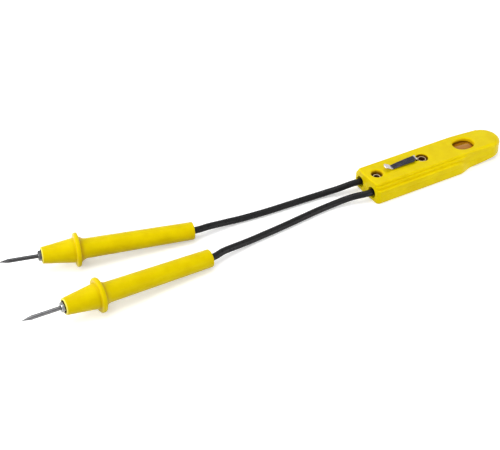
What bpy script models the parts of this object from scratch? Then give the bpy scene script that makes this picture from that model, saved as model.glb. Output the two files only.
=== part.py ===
"""Two-probe voltage tester: a yellow two-shell indicator housing and two guarded probes on short black leads.

The housing lies flat along X with its cable end at -X and its round tip at +X. The origin is the centre of
its underside and +Z points up, so the pocket clip is on top. Both probes rest on guard rim and rear end.
"""

import math

import bmesh
import bpy
from mathutils import Matrix, Vector

MM = 0.001

# The shells take many cuts in thin walls, where the exact solver leaves open edges
SHELL_SOLVER = "MANIFOLD"

# Fits
GAP = 0.3 * MM
SEAM_GAP = 0.3 * MM

# Housing
HOUSING_LENGTH = 87.5 * MM
HOUSING_HEIGHT = 11.4 * MM
CABLE_END_X = -HOUSING_LENGTH / 2
TIP_X = HOUSING_LENGTH / 2
TIP_DROP = 0.9 * MM
TIP_LIFT = 3.0 * MM
PLATEAU_HALF = 8.6 * MM
LEDGE_1_HALF = 9.6 * MM
LEDGE_1_HEIGHT = 9.9 * MM
SKIRT_HALF = 11.0 * MM
SKIRT_HEIGHT = 8.1 * MM
TIP_HALF = 8.3 * MM
TIP_ROUND_LENGTH = 8.8 * MM
NECK_END = TIP_X - 27.75 * MM
NECK_LENGTH = 5.2 * MM
SKIRT_FALL = 8.4 * MM
SKIRT_EDGE = 0.45 * MM
LEDGE_1_FALL = 2.4 * MM
LEDGE_EDGE = 0.35 * MM
LEDGE_SLOPE = 0.08 * MM
DRAFT = 0.15 * MM
END_SAGITTA = 0.4 * MM
END_CORNER = 1.8 * MM
BOTTOM_EDGE = 0.9 * MM
CREST_EDGE = 0.6 * MM
TIP_CREST_EDGE = 2.8 * MM
WALL = 1.8 * MM
FLOOR = 1.6 * MM
SEAM_HEIGHT = 4.85 * MM

LAYER_HALF = {"skirt": SKIRT_HALF, "ledge": LEDGE_1_HALF, "plateau": PLATEAU_HALF}
SHOULDERS = {
    "skirt": (0.0, SKIRT_HEIGHT, SKIRT_FALL),
    "ledge": (SKIRT_HEIGHT, LEDGE_1_HEIGHT, LEDGE_1_FALL),
}

# Where the outline has points along the housing, close together where the shoulders run out
STATION_STEP = 0.95 * MM
STATIONS = [CABLE_END_X + 3.0 * MM, -20.0 * MM]
STATIONS += [NECK_END - NECK_LENGTH - SKIRT_FALL + STATION_STEP * i for i in range(14)]
STATIONS += [NECK_END - 0.5 * MM, NECK_END - 0.2 * MM, NECK_END, NECK_END + 6.0 * MM, NECK_END + 12.0 * MM]
STATIONS.append(TIP_X - TIP_ROUND_LENGTH)

# Screws and their wells
CLIP_WELL_X = -8.0 * MM
CLIP_WELL_RADIUS = 3.35 * MM
SHELL_WELL_X = CABLE_END_X + 6.55 * MM
SHELL_WELL_RADIUS = 3.0 * MM
WELL_WALL = 0.9 * MM
WELL_FOOT_RADIUS = 3.4 * MM
WELL_MOUTH_EDGE = 0.35 * MM
WELLS = (("clip", CLIP_WELL_X, CLIP_WELL_RADIUS), ("shell", SHELL_WELL_X, SHELL_WELL_RADIUS))
WELL_PLATE = 1.1 * MM
WELL_SEAT_HEIGHT = 7.0 * MM
SCREW_HEAD_RADIUS = 2.2 * MM
SCREW_HEAD_HEIGHT = 1.5 * MM
SCREW_SHANK_RADIUS = 1.1 * MM
SCREW_TIP_HEIGHT = 2.4 * MM
BOSS_RADIUS = 2.4 * MM

# Posts and ribs inside: each starts a little inside the wall that it stands on
CEILING_ROOT = HOUSING_HEIGHT - WALL / 2
FLOOR_ROOT = FLOOR - 0.4 * MM
CLAMP_X = -29.0 * MM
CLAMP_HALF_WIDTH = LEDGE_1_HALF - 1.2 * MM
LEAD_RIBS = (-32.0 * MM, -24.6 * MM)
LEAD_RIB_HALF_WIDTH = SKIRT_HALF - WALL + 0.4 * MM
LAMP_RIB_HALF_WIDTH = PLATEAU_HALF - WALL + 0.2 * MM
RIB_THICKNESS = 1.4 * MM

# Pocket clip
CLIP_THICKNESS = 0.5 * MM
CLIP_WIDTH = 4.4 * MM
CLIP_NECK_WIDTH = 2.4 * MM
CLIP_ROOT_X = CLIP_WELL_X - 5.2 * MM
CLIP_BEND_X = CLIP_ROOT_X - 14.8 * MM
CLIP_TIP_X = CLIP_BEND_X - 3.9 * MM
CLIP_ROOT_RISE = 0.9 * MM
CLIP_BOW = 0.5 * MM
CLIP_TIP_RISE = 2.6 * MM
CLIP_RING_RADIUS = 2.85 * MM
CLIP_NOTCH_DEPTH = 0.9 * MM
# The eye is this much thicker than the strip on each side, so that no two faces coincide
EYE_EXTRA = 0.002 * MM

# Window, lens and lamp
WINDOW_X = NECK_END + 4.05 * MM
WINDOW_HALF_LENGTH = 6.2 * MM
WINDOW_HALF_WIDTH = 4.8 * MM
LENS_FLANGE = 0.9 * MM
LENS_FLANGE_HEIGHT = 0.8 * MM
LENS_RISE = 1.2 * MM
LAMP_RADIUS = 2.5 * MM
LAMP_LENGTH = 12.0 * MM
LENS_CEILING = HOUSING_HEIGHT - TIP_DROP - WALL - GAP
LAMP_CLEARANCE = 0.4 * MM
LAMP_HEIGHT = LENS_CEILING - LENS_FLANGE_HEIGHT - LAMP_CLEARANCE - LAMP_RADIUS
LAMP_REAR_X = WINDOW_X - LAMP_LENGTH / 2
LAMP_RIBS = (LAMP_REAR_X + 1.6 * MM, LAMP_REAR_X + LAMP_LENGTH - 4.0 * MM)

# Leads and the wiring inside the housing
LEAD_RADIUS = 1.75 * MM
LEAD_SPACING = 5.45 * MM
CABLE_HOLE_RADIUS = 2.9 * MM
CABLE_HOLE_DEPTH = WALL + 0.4 * MM
LEAD_INNER_END_X = -21.0 * MM
CONDUCTOR_RADIUS = 0.6 * MM
WIRE_RADIUS = 0.3 * MM
SPLICE_X = LEAD_INNER_END_X + 3.0 * MM
SPLICE_LENGTH = 7.0 * MM
SPLICE_WIRE_X = SPLICE_X + 0.55 * SPLICE_LENGTH
SPLICE_RADIUS = 1.3 * MM
RESISTOR_X = LAMP_REAR_X - 13.5 * MM
RESISTOR_LENGTH = 7.0 * MM
RESISTOR_RADIUS = 1.25 * MM

# Probes
PIN_RADIUS = 1.02 * MM
PIN_REACH = 20.5 * MM
PIN_POINT = 4.5 * MM
NOSE_RADIUS = 4.0 * MM
NOSE_LENGTH = 15.4 * MM
NOSE_BASE_RADIUS = 6.1 * MM
NOSE_POCKET_RADIUS = 3.1 * MM
NOSE_POCKET_DEPTH = 2.2 * MM
GUARD_RADIUS = 8.4 * MM
GUARD_THICKNESS = 2.1 * MM
GUARD_RIM = 0.75 * MM
FLARE_LENGTH = 3.6 * MM
FLARE_RADIUS = 6.8 * MM
GRIP_FRONT_RADIUS = 4.95 * MM
GRIP_REAR_RADIUS = 4.5 * MM
GRIP_LENGTH = 53.5 * MM
REAR_BAND = 0.9 * MM
HANDLE_REAR = -GUARD_THICKNESS - FLARE_LENGTH - GRIP_LENGTH
COLLAR_RADIUS = 2.6 * MM
COLLAR_REACH = 1.6 * MM
BARREL_RADIUS = 1.8 * MM
BARREL_LENGTH = 12.0 * MM
BARREL_FRONT = 0.0 * MM
PIN_TAIL = BARREL_FRONT - 0.4 * BARREL_LENGTH
LEAD_PROBE_END = BARREL_FRONT - BARREL_LENGTH - 1.2 * MM

FAR_GUARD = (CABLE_END_X - 153.45 * MM, 22.6 * MM)
FAR_YAW = math.radians(-9.9)
NEAR_GUARD = (CABLE_END_X - 156.35 * MM, -12.3 * MM)
NEAR_YAW = math.radians(2.1)

# Route points of the free part of each lead in millimetres, x from the cable end, y and z as elsewhere
FAR_ROUTE = [
    (-3.75, 5.9, 4.75), (-8.25, 6.6, 4.1), (-12.75, 7.4, 3.25), (-17.25, 8.5, 2.45), (-22.25, 9.3, 1.9),
    (-28.25, 9.7, 1.8), (-36.25, 10.0, 1.8), (-44.75, 10.3, 1.8), (-54.25, 10.7, 1.8), (-63.25, 11.4, 1.8),
    (-69.25, 12.0, 1.85), (-75.25, 12.3, 2.35), (-81.25, 12.3, 3.1), (-87.25, 12.2, 3.9),
]
NEAR_ROUTE = [
    (-3.75, -4.9, 4.7), (-8.75, -3.2, 4.0), (-13.25, -2.0, 3.15), (-17.75, -1.3, 2.35), (-22.75, -1.05, 1.85),
    (-30.25, -1.5, 1.8), (-38.25, -2.3, 1.8), (-48.25, -3.4, 1.8), (-58.25, -4.35, 1.8), (-66.25, -5.0, 1.8),
    (-72.25, -5.55, 1.9), (-77.75, -6.3, 2.4), (-83.25, -7.2, 3.15), (-89.25, -8.35, 3.95),
]


def clear_scene():
    for obj in list(bpy.data.objects):
        bpy.data.objects.remove(obj, do_unlink=True)


def new_collection(name):
    collection = bpy.data.collections.new(name)
    bpy.context.scene.collection.children.link(collection)
    return collection


def linear(red, green, blue):
    """Linear colour of an eight-bit screen colour."""
    shares = [value / 255 for value in (red, green, blue)]
    return tuple(s / 12.92 if s <= 0.04045 else ((s + 0.055) / 1.055) ** 2.4 for s in shares)


def new_material(name, colour, roughness, metallic=0.0, transmission=0.0):
    material = bpy.data.materials.new(name)
    material.use_nodes = True
    shader = material.node_tree.nodes["Principled BSDF"]
    shader.inputs["Base Color"].default_value = (*colour, 1.0)
    shader.inputs["Roughness"].default_value = roughness
    shader.inputs["Metallic"].default_value = metallic
    shader.inputs["Transmission Weight"].default_value = transmission
    material.diffuse_color = (*colour, 1.0)
    return material


def add_object(name, mesh, material=None, parent=None):
    obj = bpy.data.objects.new(name, mesh)
    PARTS.objects.link(obj)
    if material:
        mesh.materials.append(material)
    if parent:
        obj.parent = parent
    return obj


def make_cutter(obj):
    PARTS.objects.unlink(obj)
    CUTTERS.objects.link(obj)
    obj.hide_render = True
    obj.display_type = "WIRE"
    return obj


def new_empty(name, matrix=None):
    empty = bpy.data.objects.new(name, None)
    PARTS.objects.link(empty)
    if matrix:
        empty.matrix_world = matrix
    return empty


def combine(obj, other, operation, solver="EXACT"):
    modifier = obj.modifiers.new(f"{operation.lower()} {other.name}", "BOOLEAN")
    modifier.operation = operation
    modifier.solver = solver
    modifier.object = other


def add_to_shell(shell, other):
    combine(shell, make_cutter(other), "UNION", SHELL_SOLVER)


def cut_from_shell(shell, other):
    combine(shell, make_cutter(other), "DIFFERENCE", SHELL_SOLVER)


def smooth(mesh, angle=35):
    mesh.shade_smooth()
    mesh.set_sharp_from_angle(angle=math.radians(angle))


def turned(name, profile, material=None, parent=None, steps=32, closed=False):
    """A profile of (radius, height) points, outer side top to bottom, turned about the local Z axis."""
    mesh = bpy.data.meshes.new(name)
    points = [(radius, 0.0, height) for radius, height in profile]
    edges = [(i, i + 1) for i in range(len(points) - 1)]
    if closed:
        edges.append((len(points) - 1, 0))
    mesh.from_pydata(points, edges, [])
    obj = add_object(name, mesh, material, parent)
    screw = obj.modifiers.new("turn", "SCREW")
    screw.steps = steps
    screw.render_steps = steps
    screw.use_merge_vertices = True
    screw.merge_threshold = 0.00001
    screw.use_smooth_shade = True
    return obj


def block(name, low, high):
    """A box between two corners."""
    bm = bmesh.new()
    bmesh.ops.create_cube(bm, size=1.0)
    size = Vector(high) - Vector(low)
    middle = (Vector(high) + Vector(low)) / 2
    bmesh.ops.transform(bm, matrix=Matrix.Translation(middle) @ Matrix.Diagonal((*size, 1.0)), verts=bm.verts)
    mesh = bpy.data.meshes.new(name)
    bm.to_mesh(mesh)
    bm.free()
    return add_object(name, mesh)


def rod(name, radius, start, end, sides=24):
    """A plain cylinder between two points."""
    axis = Vector(end) - Vector(start)
    bm = bmesh.new()
    bmesh.ops.create_cone(
        bm, cap_ends=True, segments=sides, radius1=radius, radius2=radius, depth=axis.length)
    turn = axis.to_track_quat("Z", "Y").to_matrix().to_4x4()
    middle = Matrix.Translation((Vector(start) + Vector(end)) / 2)
    bmesh.ops.transform(bm, matrix=middle @ turn, verts=bm.verts)
    mesh = bpy.data.meshes.new(name)
    bm.to_mesh(mesh)
    bm.free()
    return add_object(name, mesh)


def quarter(count):
    """Angles from 0 to 90 degrees."""
    return [math.pi / 2 * i / count for i in range(count + 1)]


def cable_end(half, whole):
    """Half of the slightly convex cable end with its rounded corner, from the centre line outwards."""
    edge = half - whole
    corner = max(END_CORNER - whole, 0.4 * MM)
    flat = edge - corner

    def end_x(y):
        return CABLE_END_X + whole + END_SAGITTA * (y / half) ** 2

    points = [(end_x(flat * share), flat * share) for share in (0.0, 0.4, 0.75)]
    centre_x = end_x(flat) + corner
    for angle in quarter(4):
        points.append((centre_x - corner * math.cos(angle), flat + corner * math.sin(angle)))
    return points


def shoulder_end(layer, height):
    """Where a layer has run back into the core: the higher, the sooner, along the quarter of an ellipse."""
    low, top, reach = SHOULDERS[layer]
    share = min(max((height - low) / (top - low), 0.0), 1.0)
    return NECK_END - reach * (1 - math.sqrt(1 - share**2))


def core_half(x):
    """Half width of the plateau, which narrows a little from the neck to the round of the tip."""
    start = TIP_X - TIP_ROUND_LENGTH
    share = min(max((x - NECK_END) / (start - NECK_END), 0.0), 1.0)
    return PLATEAU_HALF + (TIP_HALF - PLATEAU_HALF) * share


def half_outline(layer, height, side, whole):
    """Half of the housing's outline at a height, from the cable end to the tip.

    side draws in the part that stands out from the core, and whole draws in everything.
    """
    points = cable_end(LAYER_HALF[layer] - side, whole)
    for x in STATIONS:
        core = core_half(x)
        step = LAYER_HALF[layer] - side - core
        if layer != "plateau":
            run = (x - shoulder_end(layer, height)) / NECK_LENGTH + 1
            step *= math.sqrt(max(1 - max(run, 0.0) ** 2, 0.0))
        points.append((x, core + max(step, 0.0) - whole))
    start = TIP_X - TIP_ROUND_LENGTH
    for angle in quarter(8)[1:]:
        x = start + (TIP_ROUND_LENGTH - whole) * math.sin(angle)
        points.append((x, (TIP_HALF - whole) * math.cos(angle)))
    points[-1] = (points[-1][0], 0.0)
    return points


def tip_share(x):
    """0 up to the neck's end and 1 at the tip."""
    return min(max((x - NECK_END) / (TIP_X - NECK_END), 0.0), 1.0)


def top_drop(x):
    """How far the top has fallen towards the tip."""
    return TIP_DROP * tip_share(x) ** 1.5


def crest_edge(x):
    """Radius of the rounded top edge, which grows towards the tip."""
    return CREST_EDGE + (TIP_CREST_EDGE - CREST_EDGE) * tip_share(x) ** 1.2


def underside_lift(x):
    """How far the underside has risen towards the tip."""
    return TIP_LIFT * tip_share(x) ** 2.2


def level(layer, height, side=0.0, whole=0.0):
    """One ring of the housing's skin.

    The fall of the top and its edge is shared out over the height, the rise of the underside up to the seam.
    """
    fall = max(height / (HOUSING_HEIGHT - CREST_EDGE), 0.0) ** 2
    rise = max(1 - height / SEAM_HEIGHT, 0.0)
    ring = []
    for x, y in half_outline(layer, height, side, whole):
        drop = top_drop(x) + crest_edge(x) - CREST_EDGE
        ring.append((x, y, height - drop * fall + underside_lift(x) * rise))
    return ring


def crest_level(angle):
    """One ring of the rounded top edge."""
    plain = half_outline("plateau", HOUSING_HEIGHT, 0.0, 0.0)
    ring = []
    for k, (x, _) in enumerate(plain):
        edge = crest_edge(x)
        x, y = half_outline("plateau", HOUSING_HEIGHT, 0.0, edge * (1 - math.cos(angle)))[k]
        ring.append((x, y, HOUSING_HEIGHT - top_drop(x) - edge * (1 - math.sin(angle))))
    return ring


def ring_of(half):
    """A closed ring of points from half of an outline whose ends lie on the centre line."""
    return half + [(x, -y, z) for x, y, z in reversed(half[1:-1])]


def skin(name, halves, material=None, parent=None):
    """A closed solid through stacked half outlines, lowest first, capped by strips across the centre line."""
    count = len(halves[0])
    around = 2 * count - 2
    points = [point for half in halves for point in ring_of(half)]
    faces = []
    for row in range(len(halves) - 1):
        low = row * around
        high = low + around
        for i in range(around):
            j = (i + 1) % around
            faces.append((low + j, low + i, high + i, high + j))
    top = (len(halves) - 1) * around
    for i in range(count - 1):
        strip = sorted({i, i + 1, around - i - 1, (around - i) % around})
        faces.append(tuple(strip))
        faces.append(tuple(top + k for k in reversed(strip)))
    mesh = bpy.data.meshes.new(name)
    mesh.from_pydata(points, [], faces)
    bm = bmesh.new()
    bm.from_mesh(mesh)
    bmesh.ops.recalc_face_normals(bm, faces=bm.faces)
    bm.to_mesh(mesh)
    bm.free()
    smooth(mesh)
    return add_object(name, mesh, material, parent)


def housing_form(name, material, parent):
    """The full outside of the housing: skirt, ledge and plateau as one skin."""
    rounding = quarter(2)
    halves = [
        level("skirt", BOTTOM_EDGE * (1 - math.sin(a)), whole=BOTTOM_EDGE * (1 - math.cos(a)) - DRAFT)
        for a in reversed(rounding)]
    for share in (0.4, 0.65, 0.82):
        halves.append(level("skirt", SKIRT_HEIGHT * share, whole=-DRAFT * (1 - share)))
    halves += [
        level("skirt", SKIRT_HEIGHT - SKIRT_EDGE * (1 - math.sin(a)), side=SKIRT_EDGE * (1 - math.cos(a)))
        for a in rounding]
    halves.append(level("ledge", SKIRT_HEIGHT + LEDGE_SLOPE))
    halves += [
        level("ledge", LEDGE_1_HEIGHT - LEDGE_EDGE * (1 - math.sin(a)), side=LEDGE_EDGE * (1 - math.cos(a)))
        for a in rounding]
    halves.append(level("plateau", LEDGE_1_HEIGHT + LEDGE_SLOPE))
    halves += [crest_level(a) for a in quarter(3)]
    return skin(name, halves, material, parent)


def hollow_out(shell, name):
    """Takes the inside away, about one wall thickness from every outer face."""
    steps = [
        ("skirt", FLOOR, WALL + 0.4 * MM), ("skirt", FLOOR + 0.4 * MM, WALL),
        ("skirt", SKIRT_HEIGHT - WALL, WALL), ("ledge", SKIRT_HEIGHT - WALL + LEDGE_SLOPE, WALL),
        ("ledge", LEDGE_1_HEIGHT - WALL, WALL),
        ("plateau", LEDGE_1_HEIGHT - WALL + LEDGE_SLOPE, WALL), ("plateau", HOUSING_HEIGHT - WALL, WALL)]
    hollow = skin(f"{name}_hollow", [level(layer, height, whole=whole) for layer, height, whole in steps])
    cut_from_shell(shell, hollow)


def oval(centre_x, half_length, half_width, count=18):
    """Half of an ellipse about a point on the centre line."""
    angles = [math.pi * i / count for i in range(count + 1)]
    points = [(centre_x - half_length * math.cos(a), half_width * math.sin(a)) for a in angles]
    points[0] = (points[0][0], 0.0)
    points[-1] = (points[-1][0], 0.0)
    return points


def oval_solid(name, levels, material=None, parent=None):
    """Stacked ellipses about the window's centre: levels are (height, growth)."""
    halves = []
    for height, growth in levels:
        outline = oval(WINDOW_X, WINDOW_HALF_LENGTH + growth, WINDOW_HALF_WIDTH + growth)
        halves.append([(x, y, height) for x, y in outline])
    return skin(name, halves, material, parent)


def cut_block(shell, name, low, high):
    cut_from_shell(shell, block(name, low, high))


def well_tube(name, x, radius):
    """The tube that carries a screw seat down from the rear wall; it narrows to pass between the leads."""
    outer = radius + WELL_WALL
    plate_bottom = WELL_SEAT_HEIGHT - WELL_PLATE
    tube = turned(name, [
        (0.0, CEILING_ROOT), (outer, CEILING_ROOT), (outer, WELL_SEAT_HEIGHT + 0.5 * MM),
        (WELL_FOOT_RADIUS, WELL_SEAT_HEIGHT - 0.4 * MM), (WELL_FOOT_RADIUS, plate_bottom),
        (0.0, plate_bottom)])
    tube.location.x = x
    return tube


def well_bore(name, x, radius):
    """The well's open bore with a softened mouth, and the screw's clearance hole through its seat."""
    mouth = radius + WELL_MOUTH_EDGE
    above = HOUSING_HEIGHT + 1.0 * MM
    below = WELL_SEAT_HEIGHT - 3 * WELL_PLATE
    shank = SCREW_SHANK_RADIUS + GAP
    bore = turned(name, [
        (0.0, above), (mouth, above), (mouth, HOUSING_HEIGHT), (radius, HOUSING_HEIGHT - WELL_MOUTH_EDGE),
        (radius, WELL_SEAT_HEIGHT), (shank, WELL_SEAT_HEIGHT), (shank, below), (0.0, below)])
    bore.location.x = x
    return bore


def cut_cable_ways(shell, name):
    """Round entries in the end wall and, inside, the channels that the leads lie in."""
    for side, y in (("far", LEAD_SPACING), ("near", -LEAD_SPACING)):
        outside = (CABLE_END_X - 2 * MM, y, SEAM_HEIGHT)
        entry_end = (CABLE_END_X + CABLE_HOLE_DEPTH, y, SEAM_HEIGHT)
        channel_end = (LEAD_INNER_END_X + 0.5 * MM, y, SEAM_HEIGHT)
        entry = rod(f"{name}_{side}_entry", CABLE_HOLE_RADIUS, outside, entry_end)
        channel = rod(f"{name}_{side}_channel", LEAD_RADIUS + GAP, outside, channel_end)
        cut_from_shell(shell, entry)
        cut_from_shell(shell, channel)


def rear_shell(material, parent):
    shell = housing_form("rear_shell", material, parent)
    hollow_out(shell, "rear")
    for name, x, radius in WELLS:
        add_to_shell(shell, well_tube(f"{name}_well_tube", x, radius))
    clamp = block("rear_clamp", (CLAMP_X, -CLAMP_HALF_WIDTH, SEAM_HEIGHT),
                  (CLAMP_X + RIB_THICKNESS, CLAMP_HALF_WIDTH, CEILING_ROOT))
    add_to_shell(shell, clamp)
    reach = HOUSING_LENGTH
    cut_block(shell, "below_seam", (-reach, -reach, -reach), (reach, reach, SEAM_HEIGHT + SEAM_GAP / 2))
    for name, x, radius in WELLS:
        cut_from_shell(shell, well_bore(f"{name}_well_bore", x, radius))
    neck_half = CLIP_NECK_WIDTH / 2 + GAP
    cut_block(shell, "clip_notch", (CLIP_ROOT_X + 0.5 * MM, -neck_half, HOUSING_HEIGHT - CLIP_NOTCH_DEPTH),
              (CLIP_WELL_X, neck_half, HOUSING_HEIGHT + 1.0 * MM))
    cut_cable_ways(shell, "rear")
    window = oval_solid("window_opening", [
        (HOUSING_HEIGHT / 2, 0.0), (HOUSING_HEIGHT - 0.5 * MM, 0.0), (HOUSING_HEIGHT, 0.5 * MM),
        (HOUSING_HEIGHT + 1.0 * MM, 0.5 * MM)])
    cut_from_shell(shell, window)
    return shell


def front_shell(material, parent):
    shell = housing_form("front_shell", material, parent)
    hollow_out(shell, "front")
    reach = HOUSING_LENGTH
    cut_block(shell, "above_seam", (-reach, -reach, SEAM_HEIGHT - SEAM_GAP / 2), (reach, reach, reach))
    boss_top = WELL_SEAT_HEIGHT - WELL_PLATE - GAP
    for name, x, _ in WELLS:
        boss = turned(f"{name}_boss", [
            (0.0, boss_top), (BOSS_RADIUS, boss_top), (BOSS_RADIUS, FLOOR + 1.0 * MM),
            (BOSS_RADIUS + 0.6 * MM, FLOOR_ROOT), (0.0, FLOOR_ROOT)])
        boss.location.x = x
        add_to_shell(shell, boss)
    for x in LEAD_RIBS:
        rib = block(f"lead_rib_{round(-x / MM)}", (x, -LEAD_RIB_HALF_WIDTH, FLOOR_ROOT),
                    (x + RIB_THICKNESS, LEAD_RIB_HALF_WIDTH, SEAM_HEIGHT - SEAM_GAP))
        add_to_shell(shell, rib)
    for x in LAMP_RIBS:
        rib = block(f"lamp_rib_{round(x / MM)}", (x, -LAMP_RIB_HALF_WIDTH, FLOOR_ROOT),
                    (x + RIB_THICKNESS, LAMP_RIB_HALF_WIDTH, LAMP_HEIGHT - 0.8 * MM))
        add_to_shell(shell, rib)
    bed = rod("lamp_bed", LAMP_RADIUS + GAP, (LAMP_REAR_X - 1.0 * MM, 0.0, LAMP_HEIGHT),
              (LAMP_REAR_X + LAMP_LENGTH, 0.0, LAMP_HEIGHT))
    cut_from_shell(shell, bed)
    for name, x, _ in WELLS:
        radius = SCREW_SHANK_RADIUS + GAP
        pilot = turned(f"{name}_pilot", [
            (0.0, HOUSING_HEIGHT), (radius, HOUSING_HEIGHT), (radius, SCREW_TIP_HEIGHT - GAP),
            (0.0, SCREW_TIP_HEIGHT - GAP)])
        pilot.location.x = x
        cut_from_shell(shell, pilot)
    cut_cable_ways(shell, "front")
    return shell


def window_lens(material, parent):
    """A flange under the rear wall and a low pillow that stands up into the opening."""
    levels = [(LENS_CEILING - LENS_FLANGE_HEIGHT, LENS_FLANGE), (LENS_CEILING, LENS_FLANGE)]
    for rise, shrink in ((0.0, 0.0), (0.4, 0.02), (0.75, 0.15), (0.94, 0.38), (1.0, 0.7)):
        levels.append((LENS_CEILING + rise * LENS_RISE, -GAP - shrink * WINDOW_HALF_WIDTH))
    return oval_solid("window_lens", levels, material, parent)


def along_x(obj, x, y, z):
    """Lays a turned piece along X with its local Z towards the tip."""
    obj.rotation_euler = (0.0, math.pi / 2, 0.0)
    obj.location = (x, y, z)
    return obj


def neon_lamp(material, parent):
    """Glass bulb with a drawn round end and a narrower pressed foot towards the cable end."""
    end = LAMP_LENGTH
    profile = [(0.0, end), (0.35 * LAMP_RADIUS, end - 0.1 * MM)]
    for angle in quarter(5)[1:]:
        radius = LAMP_RADIUS * (0.35 + 0.65 * math.sin(angle))
        profile.append((radius, end - 0.1 * MM - 2.0 * MM * (1 - math.cos(angle))))
    profile += [(LAMP_RADIUS, 1.8 * MM), (0.8 * LAMP_RADIUS, 0.7 * MM), (0.6 * LAMP_RADIUS, 0.0), (0.0, 0.0)]
    lamp = turned("neon_lamp", profile, material, parent, steps=24)
    return along_x(lamp, LAMP_REAR_X, 0.0, LAMP_HEIGHT)


def tube_between(name, radius, points, material, parent, spacing, resolution=2):
    """A round wire along a smooth curve through hand-placed points, sampled at an even spacing."""
    curve = bpy.data.curves.new(name, "CURVE")
    curve.dimensions = "3D"
    curve.bevel_depth = radius
    curve.bevel_resolution = resolution
    curve.use_fill_caps = True
    spline = curve.splines.new("POLY")
    route = even_points(smooth_points(points), spacing)
    spline.points.add(len(route) - 1)
    for point, place in zip(spline.points, route):
        point.co = (*place, 1.0)
    return add_object(name, curve, material, parent)


def smooth_points(points, steps=12):
    """A curve through all points whose tangent at each one follows its two neighbours."""
    places = [Vector(point) for point in points]
    ends = [2 * places[0] - places[1]] + places + [2 * places[-1] - places[-2]]
    found = []
    for a, b, c, d in zip(ends, ends[1:], ends[2:], ends[3:]):
        reach = (c - b).length
        start = (c - a).normalized() * reach
        finish = (d - b).normalized() * reach
        for i in range(steps):
            t = i / steps
            found.append(
                b * (2 * t**3 - 3 * t**2 + 1) + start * (t**3 - 2 * t**2 + t)
                + c * (3 * t**2 - 2 * t**3) + finish * (t**3 - t**2))
    found.append(places[-1])
    return found


def even_points(points, spacing):
    """Points at equal steps along a dense line, its two ends included."""
    lengths = [(b - a).length for a, b in zip(points, points[1:])]
    total = sum(lengths)
    count = max(2, round(total / spacing))
    found = [points[0]]
    travelled = 0.0
    wanted = total / count
    for start, finish, length in zip(points, points[1:], lengths):
        while travelled + length >= wanted - 1e-9 and len(found) < count:
            found.append(start.lerp(finish, (wanted - travelled) / length))
            wanted += total / count
        travelled += length
    found.append(points[-1])
    return found


def lamp_wires(material, parent):
    """The lamp's two legs: the near one meets the resistor, the far one its own splice."""
    foot = LAMP_REAR_X - GAP
    resistor_front = RESISTOR_X + RESISTOR_LENGTH / 2 + GAP
    near = [
        (foot, -0.8 * MM, LAMP_HEIGHT), (foot - 2.2 * MM, -1.2 * MM, LAMP_HEIGHT),
        (foot - 5.0 * MM, -3.6 * MM, LAMP_HEIGHT),
        (resistor_front + 1.6 * MM, -LEAD_SPACING, LAMP_HEIGHT), (resistor_front, -LEAD_SPACING, SEAM_HEIGHT)]
    far = [
        (foot, 0.8 * MM, LAMP_HEIGHT), (foot - 2.2 * MM, 1.2 * MM, LAMP_HEIGHT),
        (foot - 5.0 * MM, 3.6 * MM, LAMP_HEIGHT),
        (RESISTOR_X + 4.0 * MM, LEAD_SPACING, LAMP_HEIGHT),
        (RESISTOR_X - 4.0 * MM, LEAD_SPACING, SEAM_HEIGHT),
        (SPLICE_WIRE_X, LEAD_SPACING, SEAM_HEIGHT)]
    for name, route in (("near_lamp_wire", near), ("far_lamp_wire", far)):
        tube_between(name, WIRE_RADIUS, route, material, parent, 1.5 * MM, resolution=1)


def resistor(body_material, wire_material, parent):
    """A round body with fuller ends, and the leg that runs back to the near splice."""
    half = RESISTOR_LENGTH / 2
    full = RESISTOR_RADIUS
    waist = 0.84 * RESISTOR_RADIUS
    body = turned("resistor", [
        (0.0, half), (0.6 * full, half), (0.93 * full, half - 0.35 * MM), (full, half - 0.9 * MM),
        (0.95 * full, half - 1.5 * MM), (waist, half - 1.9 * MM), (waist, -half + 1.9 * MM),
        (0.95 * full, -half + 1.5 * MM), (full, -half + 0.9 * MM), (0.93 * full, -half + 0.35 * MM),
        (0.6 * full, -half), (0.0, -half)], body_material, parent, steps=20)
    along_x(body, RESISTOR_X, -LEAD_SPACING, SEAM_HEIGHT)
    rear = RESISTOR_X - half - GAP
    route = [(rear, -LEAD_SPACING, SEAM_HEIGHT), ((rear + SPLICE_WIRE_X) / 2, -LEAD_SPACING, SEAM_HEIGHT),
             (SPLICE_WIRE_X, -LEAD_SPACING, SEAM_HEIGHT)]
    tube_between("resistor_wire", WIRE_RADIUS, route, wire_material, parent, 1.5 * MM, resolution=1)


def splices(sleeve_material, conductor_material, parent):
    """Each lead's bare end in a crimped sleeve that joins it to the wire from the lamp's side."""
    bore = CONDUCTOR_RADIUS + GAP
    dent = SPLICE_RADIUS - 0.15 * MM
    for side, y in (("far", LEAD_SPACING), ("near", -LEAD_SPACING)):
        profile = [(bore, SPLICE_LENGTH), (SPLICE_RADIUS, SPLICE_LENGTH)]
        profile.append((SPLICE_RADIUS, 0.8 * SPLICE_LENGTH))
        for share in (0.72, 0.28):
            profile += [(dent, (share + 0.04) * SPLICE_LENGTH), (dent, (share - 0.04) * SPLICE_LENGTH)]
            profile.append((SPLICE_RADIUS, (share - 0.12) * SPLICE_LENGTH))
        profile += [(SPLICE_RADIUS, 0.0), (bore, 0.0)]
        sleeve = turned(f"{side}_splice", profile, sleeve_material, parent, steps=16, closed=True)
        along_x(sleeve, SPLICE_X, y, SEAM_HEIGHT)
        start = LEAD_INNER_END_X + GAP
        finish = SPLICE_X + 0.45 * SPLICE_LENGTH
        route = [(start, y, SEAM_HEIGHT), ((start + finish) / 2, y, SEAM_HEIGHT), (finish, y, SEAM_HEIGHT)]
        tube_between(
            f"{side}_conductor", CONDUCTOR_RADIUS, route, conductor_material, parent, 2.5 * MM, resolution=1)


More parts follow.
